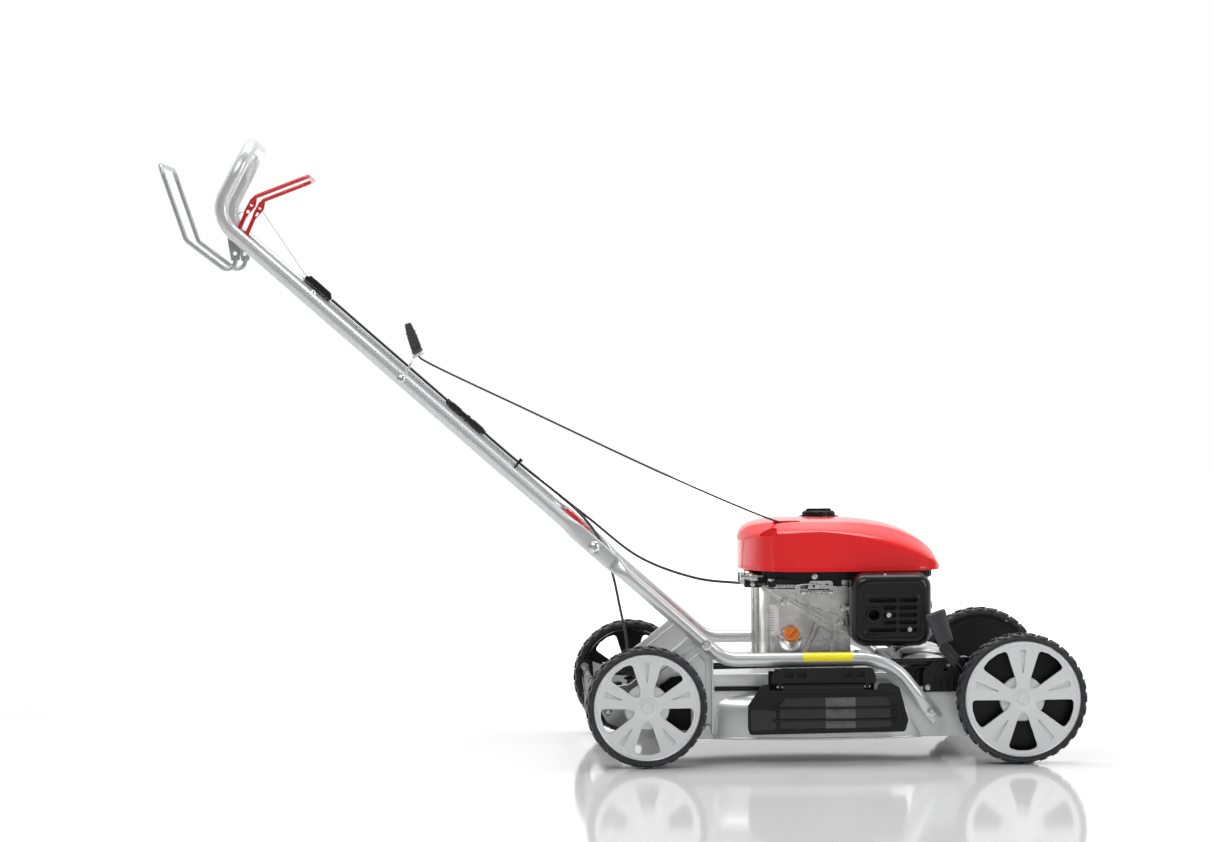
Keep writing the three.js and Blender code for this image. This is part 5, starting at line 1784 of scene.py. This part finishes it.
def engine_cover():
    crown = [(-v, g) for v, g in reversed(CROWN[1:])] + CROWN
    verts = []
    faces = []
    rows = []
    for x in COVER_STATIONS:
        half = cover_half(x)
        low, high = lookup(COVER_SHOULDER, x), lookup(COVER_TOP, x)
        rows.append(list(range(len(verts), len(verts) + len(crown))))
        verts += [(x, v * max(half, 0.5), low + (high - low) * g) for v, g in crown]
    for a, b in zip(rows, rows[1:]):
        faces += [(a[j], b[j], b[j + 1], a[j + 1]) for j in range(len(crown) - 1)]
    edge = [row[0] for row in rows] + rows[-1][1:] + [
        row[-1]
        for row in reversed(rows[:-1])
    ] + rows[0][-2:0:-1]
    previous = edge
    for z, out in (
        (COVER_BOTTOM + 8, 0.0), (COVER_BOTTOM + 5, 0.0), (COVER_BOTTOM + 4, 0.9), (COVER_BOTTOM, 1.0)
    ):
        ring = []
        for i in edge:
            x, y, _ = verts[i]
            way = Vector((x - COVER_MIDDLE, y * 1.4))
            way = way * (0.4 * out / max(way.length, 1))
            ring.append(len(verts))
            verts.append((min(max(x + way.x, COVER_REAR), COVER_NOSE), y + way.y, z))
        n = len(edge)
        faces += [(previous[k], previous[(k + 1) % n], ring[(k + 1) % n], ring[k]) for k in range(n)]
        previous = ring
    skin = make("cover", verts, faces)
    soften(skin, 3.4, 4, 42)
    shell = solidified(skin, 2.4)
    well = lathe("cap_well", [(0, 0), (31.5, 0), (31.5, 40), (0, 40)], (*CAP_AT, 374), "Z", 56)
    pockets = []
    for name, outline, radii, floor in (
        ("rope_slot", [(262, -78), (310, -76), (312, -58), (266, -54)], [7, 7, 7, 7], 384),
        ("notch", [(226, -126), (266, -130), (268, -94), (238, -88)], [4, 4, 6, 6], 374.5),
    ):
        corners = [(*p, 0) for p in filleted(outline, radii, 5)]
        rim_line = dense([*corners, corners[0]], 3)[:-1]
        pockets.append(tray(name + "_tray", rim_line, floor))
        carve(shell, plate(name, filleted(outline, radii, 5), floor, 420, "XY", bevel=0))
    carve(shell, well)
    cap_ring = lathe(
        "cap_ring", [(31.4, 386), (34.5, 386), (35.5, 396.6), (33.5, 398), (31.4, 397.6)], (*CAP_AT, 0),
        "Z", 56, True,
    )
    eye = lathe(
        "rope_eye", [(2.6, -1.5), (5.6, -1.5), (6.2, 0), (5.6, 1.6), (2.6, 1.6)], axis="Z", steps=28,
        ring=True,
    )
    moved(eye, Matrix.Translation(Vector((298, -62.6, 386.6)) * MM) @ Matrix.Rotation(-1.1, 4, "Y"))
    badge = tint(on_cover("cover_label", 428, 500, 329, 338, 12), RED_LABEL)
    return join(
        "engine_cover_v", *tinted(RED, shell, *pockets), tint(cap_ring, BLACK), tint(eye, BLACK), badge,
    )


def cover_height(x, y):
    """How high the cover's outer face is at (x, y)."""
    low, high = lookup(COVER_SHOULDER, x), lookup(COVER_TOP, x)
    return low + (high - low) * lookup(CROWN, min(abs(y) / max(cover_half(x), 1), 1))


def tray(name, outline, floor):
    """The lining of a pocket in the cover: a floor and walls up to just under the outer face."""
    middle = Vector((sum(p[0] for p in outline), sum(p[1] for p in outline))) / len(outline)

    def ring(scale, height):
        points = []
        for p in outline:
            x, y = middle + (Vector(p[:2]) - middle) * scale
            limit = cover_half(x) - 1.2
            y = max(y, -limit)
            points.append((x, y, max(floor - 0.4, cover_height(x, y) - 1) if height is None else height))
        return points

    return loft(name, [ring(1.1, floor - 3), ring(1.1, None), ring(1.004, None), ring(1.004, floor - 0.4)])


def on_cover(name, x0, x1, z0, z1, steps):
    """A thin plain sticker that follows the cover's right-hand wall."""
    verts = []
    for k in range(steps + 1):
        x = x0 + (x1 - x0) * k / steps
        for z in (z0, z1):
            for lift in (0.15, 0.4):
                verts.append((x, -cover_half(x) - lift, z))
    faces = []
    for k in range(steps):
        a, b = 4 * k, 4 * (k + 1)
        faces += [
            (a + 1, b + 1, b + 3, a + 3), (a, a + 2, b + 2, b), (a, b, b + 1, a + 1),
            (a + 2, a + 3, b + 3, b + 2),
        ]
    faces += [(0, 1, 3, 2), tuple(4 * steps + i for i in (0, 2, 3, 1))]
    return make(name, verts, faces)


def crankcase():
    body = filleted(
        [(260, -95), (395, -95), (395, 95), (260, 95), (240, 70), (240, -70)], [16, 5, 5, 16, 12, 12], 6,
    )
    shell = plate("case", body, 150.3, 302, "XY", bevel=2.5, segments=3)
    carve(shell, pin("bore", (CRANK_X, 0, 140), (CRANK_X, 0, 320), CASE_BORE, 40, 0))
    flange = plate(
        "case_flange", filleted([(232, -106), (400, -106), (400, 106), (232, 106)], 18, 6), 150.3, 157.6,
        "XY", holes=[ring_hole(CRANK_X, 0, CASE_BORE, 40)], bevel=1.6, segments=3,
    )
    fillet = plate(
        "case_foot", filleted([(236, -101), (397, -101), (397, 101), (236, 101)], 16, 6), 157, 163, "XY",
        holes=[ring_hole(CRANK_X, 0, CASE_BORE, 40)], bevel=2.4, segments=3,
    )
    corner = lathe(
        "case_column", [(0, 158), (24, 158), (22.5, 164), (22, 285), (20, 291), (0, 292)], (*COLUMN, 0),
        "Z", 48,
    )
    top_ring = lathe(
        "case_top", [(14.3, 296), (66, 296), (66, 302), (62, 303.4), (14.3, 303.4)], (CRANK_X, 0, 0), "Z",
        56, True,
    )
    split = [
        plate(
            "case_split",
            filleted(
                [(244, 294), (240, 284), (358, 212), (392, 206), (396, 216), (368, 224)],
                [5, 6, 8, 6, 5, 8], 5,
            ),
            -101.5, -92, bevel=1.4, segments=3,
        ),
        plate(
            "case_split_edge",
            filleted(
                [(246, 290), (244, 287), (360, 216), (388, 211), (389, 213), (364, 220)],
                [1, 1, 3, 1, 1, 3], 4,
            ),
            -103.4, -99, bevel=0.7,
        ),
    ]
    webs = []
    for corners, radius, steps, y0, y1, bevel in (
        ([(306, 162), (312, 162), (341, 228), (335, 232)], 2, 4, -101, -92, 1.2),
        ([(358, 160), (366, 160), (372, 214), (364, 216)], 2, 4, -103, -92, 1.2),
        ([(250, 162), (254, 162), (254, 282), (250, 284)], 1.5, 3, -97.5, -90, 0.8),
        ([(366, 163), (394, 163), (394, 208), (370, 210)], 4, 4, -99.5, -90, 2),
        ([(314, 166), (356, 166), (361, 208), (342, 222)], 5, 4, -97, -90, 1.4),
        ([(300, 262), (392, 232), (394, 290), (300, 292)], 8, 5, -97, -90, 2.2),
    ):
        webs.append(
            plate(
                "case_web", filleted(corners, radius, steps), y0, y1, bevel=bevel,
                segments=2 if bevel < 1 else 3,
            )
        )
    neck = pin("oil_neck", (291, -90.8, 191.6), (291, -107.4, 204), 12, 36, 1.2)
    boss = lathe("oil_boss", [(0, -6), (21, -6), (19.5, 2), (15, 5), (0, 5)], steps=40)
    moved(
        boss,
        Matrix.Translation(
            Vector((291, -96, 195)) * MM
        ) @ Matrix.Rotation(pi, 4, "Z") @ Matrix.Rotation(-0.2, 4, "X"),
    )
    lug_places = ((281, 262), (378, 226), (383, 250))
    lugs = [pin("case_lug", (x, -104.6, z), (x, -92, z), 7.2, 28, 1.0) for x, z in lug_places]
    ribs = []
    for x in range(270, 375, 26):
        rib = filleted([(x, 162), (x + 5, 162), (x + 5, 286), (x, 290)], 2, 3)
        ribs.append(plate("left_rib", rib, 92, 98.5, bevel=1))
    for y in (-52, -26, 21, 47):
        rib = filleted([(y, 164), (y + 5, 164), (y + 5, 284), (y, 288)], 2, 3)
        ribs.append(plate("back_rib", rib, 235.5, 242, "YZ", bevel=1))
    cast = join(
        "crankcase_v", shell, flange, fillet, corner, top_ring, *split, *webs, neck, boss, *lugs, *ribs,
    )
    tint(cast, CAST)
    heads = [bolt("case_bolt", (x, -104.4, z), (0, -1, 0), 4.4) for x, z in lug_places]
    heads += [bolt("base_bolt", (x, s * 98, 157.6), (0, 0, 1), 5) for x in (244, 388) for s in (-1, 1)]
    sticker = arc(*COLUMN, 22.5, 232, 304, 8)
    corners = [(x, y, z) for z in (204, 257) for x, y in sticker]
    strip = make("front_label", corners, [(k, k + 1, k + 10, k + 9) for k in range(8)])
    lines = []
    for k in range(9):
        marks = [polar(22.5, 248, *COLUMN), polar(22.6, 258, *COLUMN), polar(22.5, 268, *COLUMN)]
        lines.append(rod("label_line", [(x, y, 213 + 4.4 * k) for x, y in marks], 0.35, 6))
    return join("crankcase_v", cast, *heads, tint(strip, PAPER), *tinted(INK, *lines))


def oil_plug():
    start, way = Vector((291, -94, 194)), Vector((0, -0.8, 0.6))
    body = lathe(
        "plug", [(0, 17.4), (15.6, 17.4), (17, 18.6), (17, 24.6), (15.8, 26), (9, 26.8), (0, 26.8)],
        axis="Z", steps=44,
    )
    wing = plate(
        "plug_wing",
        filleted([(-13.5, 26), (13.5, 26), (12.4, 32.5), (6, 35), (-6, 35), (-12.4, 32.5)], 2.4, 5), -3.2,
        3.2, bevel=1.2, segments=3,
    )
    knurls = [block("plug_rib", 16.2, 17.6, -0.9, 0.9, 18.6, 24.8, 0.3) for _ in range(18)]
    for k, rib in enumerate(knurls):
        moved(rib, Matrix.Rotation(2 * pi * k / 18, 4, "Z"))
    plug = join("oil_plug_v", body, wing, *knurls)
    turn = Vector((0, 0, 1)).rotation_difference(way).to_matrix().to_4x4()
    return tint(
        moved(
            plug,
            Matrix.Translation(start * MM) @ turn @ Matrix.Rotation(0.9, 4, "Z") @ Matrix.Diagonal(
                (0.8, 0.8, 1, 1)
            ),
        ),
        ORANGE,
    )


def cylinder():
    parts = [block("barrel", 395.3, 498, -46, 46, 208, 286, 6, 3)]
    for k in range(9):
        x = 401 + 9.6 * k
        rounded = rounded_box(-62, 62, 192, 298, 14, 6)
        parts.append(plate("fin", rounded, x, x + 3, "YZ", bevel=0.9))
    parts.append(
        plate("head", rounded_box(-56, 56, 200, 292, 12, 6), 494, 508, "YZ", bevel=2.5, segments=3)
    )
    parts.append(
        plate("rocker_cover", rounded_box(-48, 48, 206, 286, 10, 6), 490, 508, "YZ", bevel=2, segments=3)
    )
    bolts = [bolt("head_bolt", (508, y, z), (1, 0, 0), 4.2) for y in (-44, 44) for z in (212, 280)]
    return join("cylinder_v", *tinted(CAST, *parts), *bolts)


def spark_plug():
    hexagon = plate("plug_hex", [(u, 246 + v) for u, v in circle(9, 6)], 508.3, 520, "YZ", bevel=0.8)
    insulator = lathe("insulator", [(0, 518), (6, 518), (6, 528), (5, 530), (0, 530)], (0, 0, 246), "X", 28)
    boot = lathe(
        "boot",
        [
            (0, 528), (8.2, 528), (9, 530), (9, 533), (7.6, 534), (9, 535), (9, 538), (7.6, 539), (9, 540),
            (9, 544), (7, 546), (0, 546),
        ],
        (0, 0, 246), "X", 32,
    )
    return join("spark_plug_v", tint(hexagon, ZINC), tint(insulator, PAPER), tint(boot, BLACK))


def blower_base():
    outline = cover_outline(11)
    base = plate("blower", outline, 302.4, 314.4, "XY", holes=[ring_hole(CRANK_X, 0, 13, 40)], bevel=1.2)
    step = plate(
        "blower_step", cover_outline(15), 299.6, 303, "XY", holes=[ring_hole(CRANK_X, 0, 69, 56)],
        bevel=0.8,
    )
    count = len(outline)
    ribs = []
    for k in range(2, count - 2, 2):
        x, y = outline[k]
        if abs(y) < 40 and x < 260:
            continue
        way = Vector((x - CRANK_X - 30, y)).normalized()
        rib = block("blower_rib", -2.4, 1.2, -0.9, 0.9, 302.6, 313.4, 0.3)
        moved(rib, Matrix.Translation((x * MM, y * MM, 0)) @ Matrix.Rotation(atan2(way.y, way.x), 4, "Z"))
        ribs.append(rib)
    brackets = [
        block("intake_box", 262, 352, -112, -96, 292.5, 303, 2.2, 3),
        block("intake_step", 352, 378, -108, -92, 288, 303, 2, 3),
        block("rear_lug", 236, 262, -86, -70, 294, 303, 2, 3),
        block("front_lug", 500, 516, -74, -58, 292, 303, 2, 3),
    ]
    heads = [
        bolt("blower_bolt", (446, -120.5, 308), (0, -1, 0), 4.4),
        bolt("blower_bolt", (330, -122.6, 307), (0, -1, 0), 3.6),
    ]
    return join("blower_base_v", *tinted(BLACK, base, step, *ribs, *brackets), *heads)


def fuel_cap():
    cap = lathe(
        "cap",
        [
            (0, 392.4), (27.4, 392.4), (28, 393.2), (28, 404), (26.4, 406.6), (20, 407), (18, 405.6),
            (0, 405.6),
        ],
        (*CAP_AT, 0), "Z", 72,
    )
    knurls = []
    for k in range(30):
        rib = block("cap_rib", 27.2, 29, -1.1, 1.1, 393.2, 404.4, 0.4)
        moved(rib, Matrix.Translation(Vector((*CAP_AT, 0)) * MM) @ Matrix.Rotation(2 * pi * k / 30, 4, "Z"))
        knurls.append(rib)
    handle = plate(
        "cap_bar", filleted([(335, 404), (381, 404), (379, 410.6), (337, 410.6)], 2, 4), 84, 92, bevel=1.3,
        segments=3,
    )
    vent = pin("cap_vent", (358, 76, 404), (358, 76, 406.8), 2.5, 20, 0.5)
    return tint(join("fuel_cap_v", cap, *knurls, handle, vent), BLACK)


def muffler_guard():
    x0, x1, z0, z1 = 389, 525, 190, 314
    levels = [
        (0, -119), (0, -122), (0, -158), (1.2, -164), (4, -169), (8, -172.6), (12, -174), (15.5, -174),
        (17.5, -172.4),
    ]
    loops = []
    for inset, y in levels:
        ring = rounded_box(x0 + inset, x1 - inset, z0 + inset, z1 - inset, 24 - inset * 0.6, 8)
        loops.append([(u, y, v) for u, v in ring])
    shell = loft("guard", loops, caps=False)
    shell = solidified(shell, 2.2)
    face = rounded_box(x0 + 16.5, x1 - 16.5, z0 + 16.5, z1 - 16.5, 13, 6)
    slots = []
    for k in range(5):
        left, z = 418 if k in (0, 4) else 442, 219 + 12.6 * k
        slots.append(bar((left + 3.4, z), (460.5, z), 3.9, 6))
        slots.append(bar((471.5, z), (495.5, z), 3.9, 6))
    hole = ring_hole(*PORT, 9.6, 32)
    front = plate("guard_face", face, -173.6, -171.4, holes=[*slots, hole], bevel=0.6)
    outline = filleted([(408, 211), (504, 211), (504, 279), (408, 279)], 9, 6)
    rail = rod("guard_rail", [(u, -173.4, v) for u, v in [*outline, outline[0]]], 1.3, 8)
    wall = [(9.4, -171.5), (9.4, -175.6), (11, -176), (13.4, -175.4), (14.4, -173.4), (14.4, -171.5)]
    port_ring = lathe("port_ring", wall, (PORT[0], 0, PORT[1]), steps=44, ring=True)
    tab = block("guard_tab", 440, 452, -119.5, -116, 308, 314, 0.8)
    screws = []
    for at, direction, size in (
        ((451, -173.2, 244.2), (0, -1, 0), 2.9), ((487, -173.2, 219.6), (0, -1, 0), 2.9),
        ((446, -164.5, 309), (0, -0.8, 0.6), 3.4), ((388, -128, 252), (-1, 0, 0), 4.0),
        ((462, -150, 190.4), (0, 0, -1), 3.6),
    ):
        screws.append(bolt("guard_screw", at, direction, size))
    return join("muffler_guard_v", *tinted(BLACK_PAINT, shell, front, rail, port_ring, tab), *screws)


def muffler():
    body = []
    for inset, y in (
        (6, -112), (1.5, -114), (0, -118), (0, -134.5), (-2, -135), (-2, -137), (0, -137.5), (0, -154),
        (1.5, -158), (6, -160)
    ):
        ring = rounded_box(402 + inset, 512 - inset, 205 + inset, 298 - inset, 16, 6)
        body.append([(u, y, v) for u, v in ring])
    can = loft("muffler", body)
    carve(can, pin("port", (PORT[0], -170, PORT[1]), (PORT[0], -140, PORT[1]), 8, 36, 0))
    pipe = pin("exhaust_pipe", (470, -113, 250), (470, -62.4, 250), 11, 32, 0.6)
    collar = plate("exhaust_flange", bar((454, 250), (486, 250), 12, 10), -70, -64, bevel=0.9)
    return join("muffler_v", tint(can, BLACK), tint(pipe, STEEL), tint(collar, STEEL))


def air_filter():
    loops = []
    for inset, y in ((0, 130), (0, 150), (0.2, 160), (1.6, 167), (5, 172.6), (10, 175.4), (16, 176)):
        corner = max(14 - inset * 0.3, 5)
        ring = rounded_box(298 + inset, 430 - inset, 222 + inset, 312 - inset, corner, 7)
        loops.append([(u, y, v) for u, v in ring])
    box = loft("filter", loops)
    band = plate("filter_band", rounded_box(296.8, 431.2, 220.8, 313.2, 15, 7), 138, 141, bevel=0.8)
    neck = block("filter_neck", 330, 380, 95.3, 132, 240, 292, 6, 3)
    ribs = [block("filter_rib", 318 + 14 * k, 321 + 14 * k, 173.4, 175.8, 240, 294, 0.5) for k in range(7)]
    latch = block("filter_latch", 354, 374, 150, 160, 310, 314, 1.2)
    carburettor = lathe(
        "carburettor", [(0, 98), (16, 98), (18, 101), (18, 112), (20, 114), (20, 120), (14, 124), (0, 124)],
        (355, 0, 264), "Y", 36,
    )
    return join("air_filter_v", *tinted(BLACK, box, band, neck, *ribs, latch), tint(carburettor, CAST))


def coil(name, start, end, radius, turns, wire):
    """A coil spring with hooked ends."""
    start, end = Vector(start), Vector(end)
    way = (end - start).normalized()
    side = way.orthogonal().normalized()
    other = way.cross(side)
    points = [start - way * 5]
    steps = turns * 9
    for k in range(steps + 1):
        a = 2 * pi * turns * k / steps
        points.append(start.lerp(end, k / steps) + side * radius * cos(a) + other * radius * sin(a))
    points.append(end + way * 5)
    return rod(name, points, wire, 6)


def control_plate():
    sheet = plate(
        "control", filleted([(252, -118), (362, -118), (362, -95.4), (252, -95.4)], [5, 5, 0.8, 0.8], 5),
        283, 285.6, "XY", bevel=0.4,
    )
    upright = plate(
        "control_up", filleted([(318, 283), (362, 283), (362, 299), (322, 299)], [0.5, 3, 5, 5], 4), -118,
        -116, holes=[ring_hole(330, 291, 3, 16), ring_hole(352, 292, 2.2, 14)], bevel=0.4,
    )
    stud = pin("brake_stud", (*BRAKE_PIVOT, 284), (*BRAKE_PIVOT, 296), 2.5, 20)
    clamp = block("cable_clamp", 252, 264, -112, -100, 288.5, 298, 1.2)
    screw = bolt("clamp_screw", (258, -106, 298), (0, 0, 1), 2.6)
    bracket = plate(
        "control_tab", filleted([(296, 278), (306, 278), (306, 292), (296, 292)], 2, 3), -120, -118.4,
        bevel=0.3,
    )
    springs = [
        coil("brake_spring", (272, -121, 291), (297, -121, 291), 2.4, 9, 0.55),
        coil("governor_spring", (316, -120.5, 279), (352, -120.5, 279.5), 2.9, 14, 0.6),
    ]
    rods = [
        rod(
            "governor_rod",
            rounded_route([(300, -121, 292), (322, -121, 294), (366, -121, 289), (371, -121, 280)], 4, 5),
            1.1, 8,
        ),
        rod("throttle_rod", [(306, -119, 279), (362, -119, 279)], 1.6, 10),
    ]
    knobs = [
        pin("governor_nut", (308, -119, 279), (314, -119, 279), 4.2, 6, 0.5),
        pin("governor_nut", (355, -119, 279), (361, -119, 279), 4.2, 6, 0.5),
        pin("link_ball", (334, -124, 291), (334, -118, 291), 3.6, 20, 1),
    ]
    return join(
        "control_plate_v", *tinted(ZINC, sheet, upright, stud, bracket, *springs, *rods, *knobs),
        tint(clamp, BLACK), screw,
    )


def brake_lever():
    holes = [ring_hole(*BRAKE_PIVOT, 2.8, 20), ring_hole(*BRAKE_TIP, 1.6, 14)]
    lever = plate("brake", bar(BRAKE_PIVOT, BRAKE_TIP, 4.6, 10), 286.4, 289.4, "XY", holes=holes, bevel=0.4)
    tab = plate(
        "brake_tab", filleted([(298, 287), (306, 287), (306, 295), (298, 295)], 1.6, 3), -110.6, -109,
        bevel=0.3,
    )
    pad = block("brake_rib", 276, 294, -108, -104, 289.2, 290.4, 0.4)
    return tint(join("brake_lever_v", lever, tab, pad), ZINC)


def carburettor_end():
    """The silver and black end of the intake behind the crankcase, where the stop cable arrives."""
    parts = [
        tint(
            lathe(
                "intake_end",
                [(0, 206), (10, 206), (12.5, 208), (12.5, 214), (10.6, 216), (10.6, 232), (0, 232)],
                (0, -62, 303), "X", 36,
            ),
            CAST,
        ),
        tint(
            lathe(
                "intake_cap", [(0, 203.6), (7.4, 203.6), (8.4, 205), (8.4, 208), (0, 208)], (0, -62, 303),
                "X", 32,
            ),
            STEEL,
        ),
        tint(block("intake_body", 214, 246, -74, -48, 285, 297, 2.5, 3), BLACK),
        tint(block("intake_arm", 222, 262, -78, -56, 296, 308, 3, 3), CAST),
    ]
    parts += [
        bolt("intake_bolt", (228, -74.4, 291), (0, -1, 0), 3.2),
        bolt("intake_bolt", (222, -74.4, 303), (0, -1, 0), 3.0),
    ]
    return join("intake_end_v", *parts)


def dress(node, material, bevel=0.5):
    """Finishes a CAD node as it is, with softened edges."""
    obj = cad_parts[node]
    obj.data.materials.clear()
    obj.data.materials.append(material)
    edge = obj.modifiers.new("edges", "BEVEL")
    edge.width = bevel * MM
    edge.segments = 2
    edge.limit_method = "ANGLE"
    edge.angle_limit = radians(35)


def cutting_blade():
    half = 27
    outline = filleted([(-226, -half), (212, -half), (226, half), (-212, half)], [2, 8, 2, 8], 4)
    holes = [ring_hole(0, 0, 5.6, 24)]
    bar_piece = plate("blade", outline, 50, 54, "XY", holes=holes, bevel=0.7)
    wings = []
    for s in (-1, 1):
        sail = []
        for k in range(9):
            t = k / 8
            y = 8 + 18 * t
            z = 53 + 12 * t * t
            sail.append((y, z))
        loop = [(y, z) for y, z in sail] + [(y + 1.4, z - 2.4) for y, z in reversed(sail)]
        wing = loft("sail", [[(x, y, z) for y, z in loop] for x in (-216, -190, -166)])
        if s > 0:
            moved(wing, Matrix.Rotation(pi, 4, "Z"))
        wings.append(wing)
    edges = []
    for s in (-1, 1):
        edge = loft(
            "cutting_edge",
            [[(x, -27.2, 50.6), (x, -16, 49.6), (x, -16, 50.4), (x, -27.2, 51.2)] for x in (-222, -120)],
        )
        if s > 0:
            moved(edge, Matrix.Rotation(pi, 4, "Z"))
        edges.append(edge)
    boss = lathe(
        "blade_boss", [(5.6, 49.8), (26, 49.8), (27, 50.6), (27, 54.2), (5.6, 54.2)], axis="Z", steps=44,
        ring=True,
    )
    piece = join("blade_v", *tinted(BLACK_PAINT, bar_piece, *wings, boss), *tinted(ZINC, *edges))
    moved(piece, Matrix.Translation((CRANK_X * MM, 0, 0)))
    return piece


def blade_bolt():
    washer = lathe(
        "blade_washer", [(0, 47.6), (20, 47.6), (21, 48.4), (21, 49.6), (0, 49.6)], (CRANK_X, 0, 0), "Z",
        44,
    )
    head = plate("blade_head", [(CRANK_X + u, v) for u, v in circle(11, 6)], 42, 48, "XY", bevel=0.9)
    shank = pin("blade_shank", (CRANK_X, 0, 47), (CRANK_X, 0, 75), 5, 24)
    return tint(join("blade_bolt_v", washer, head, shank), ZINC)


def engine():
    done(engine_cover(), "chassis", "red_gloss_plastic", "engine_cover", sharp=30)
    done(crankcase(), "chassis", "cast_aluminium", "crankcase")
    done(oil_plug(), "oil_plug", "orange_plastic", "oil_plug")
    done(cylinder(), "chassis", "cast_aluminium", "cylinder")
    done(spark_plug(), "chassis", "black_plastic", "spark_plug")
    done(blower_base(), "chassis", "black_plastic", "blower_base")
    done(fuel_cap(), "fuel_cap", "black_plastic", "fuel_cap")
    done(muffler_guard(), "chassis", "black_painted_metal", "muffler_guard")
    done(muffler(), "chassis", "dark_steel", "muffler")
    done(air_filter(), "chassis", "black_plastic", "air_filter")
    done(control_plate(), "chassis", "zinc", "control_plate")
    done(brake_lever(), "brake_lever", "zinc", "brake_lever")
    done(carburettor_end(), "chassis", "cast_aluminium")
    done(cutting_blade(), "crank", "dark_steel", "blade")
    done(blade_bolt(), "crank", "zinc", "blade_bolt")
    dress("fuel_tank", BLACK, 1.5)
    dress("starter_housing", BLACK, 0.8)
    dress("starter_pulley", BLACK, 0.4)
    dress("flywheel", CAST, 0.4)
    dress("crankshaft", STEEL, 0.4)


engine()

bpy.context.view_layer.update()
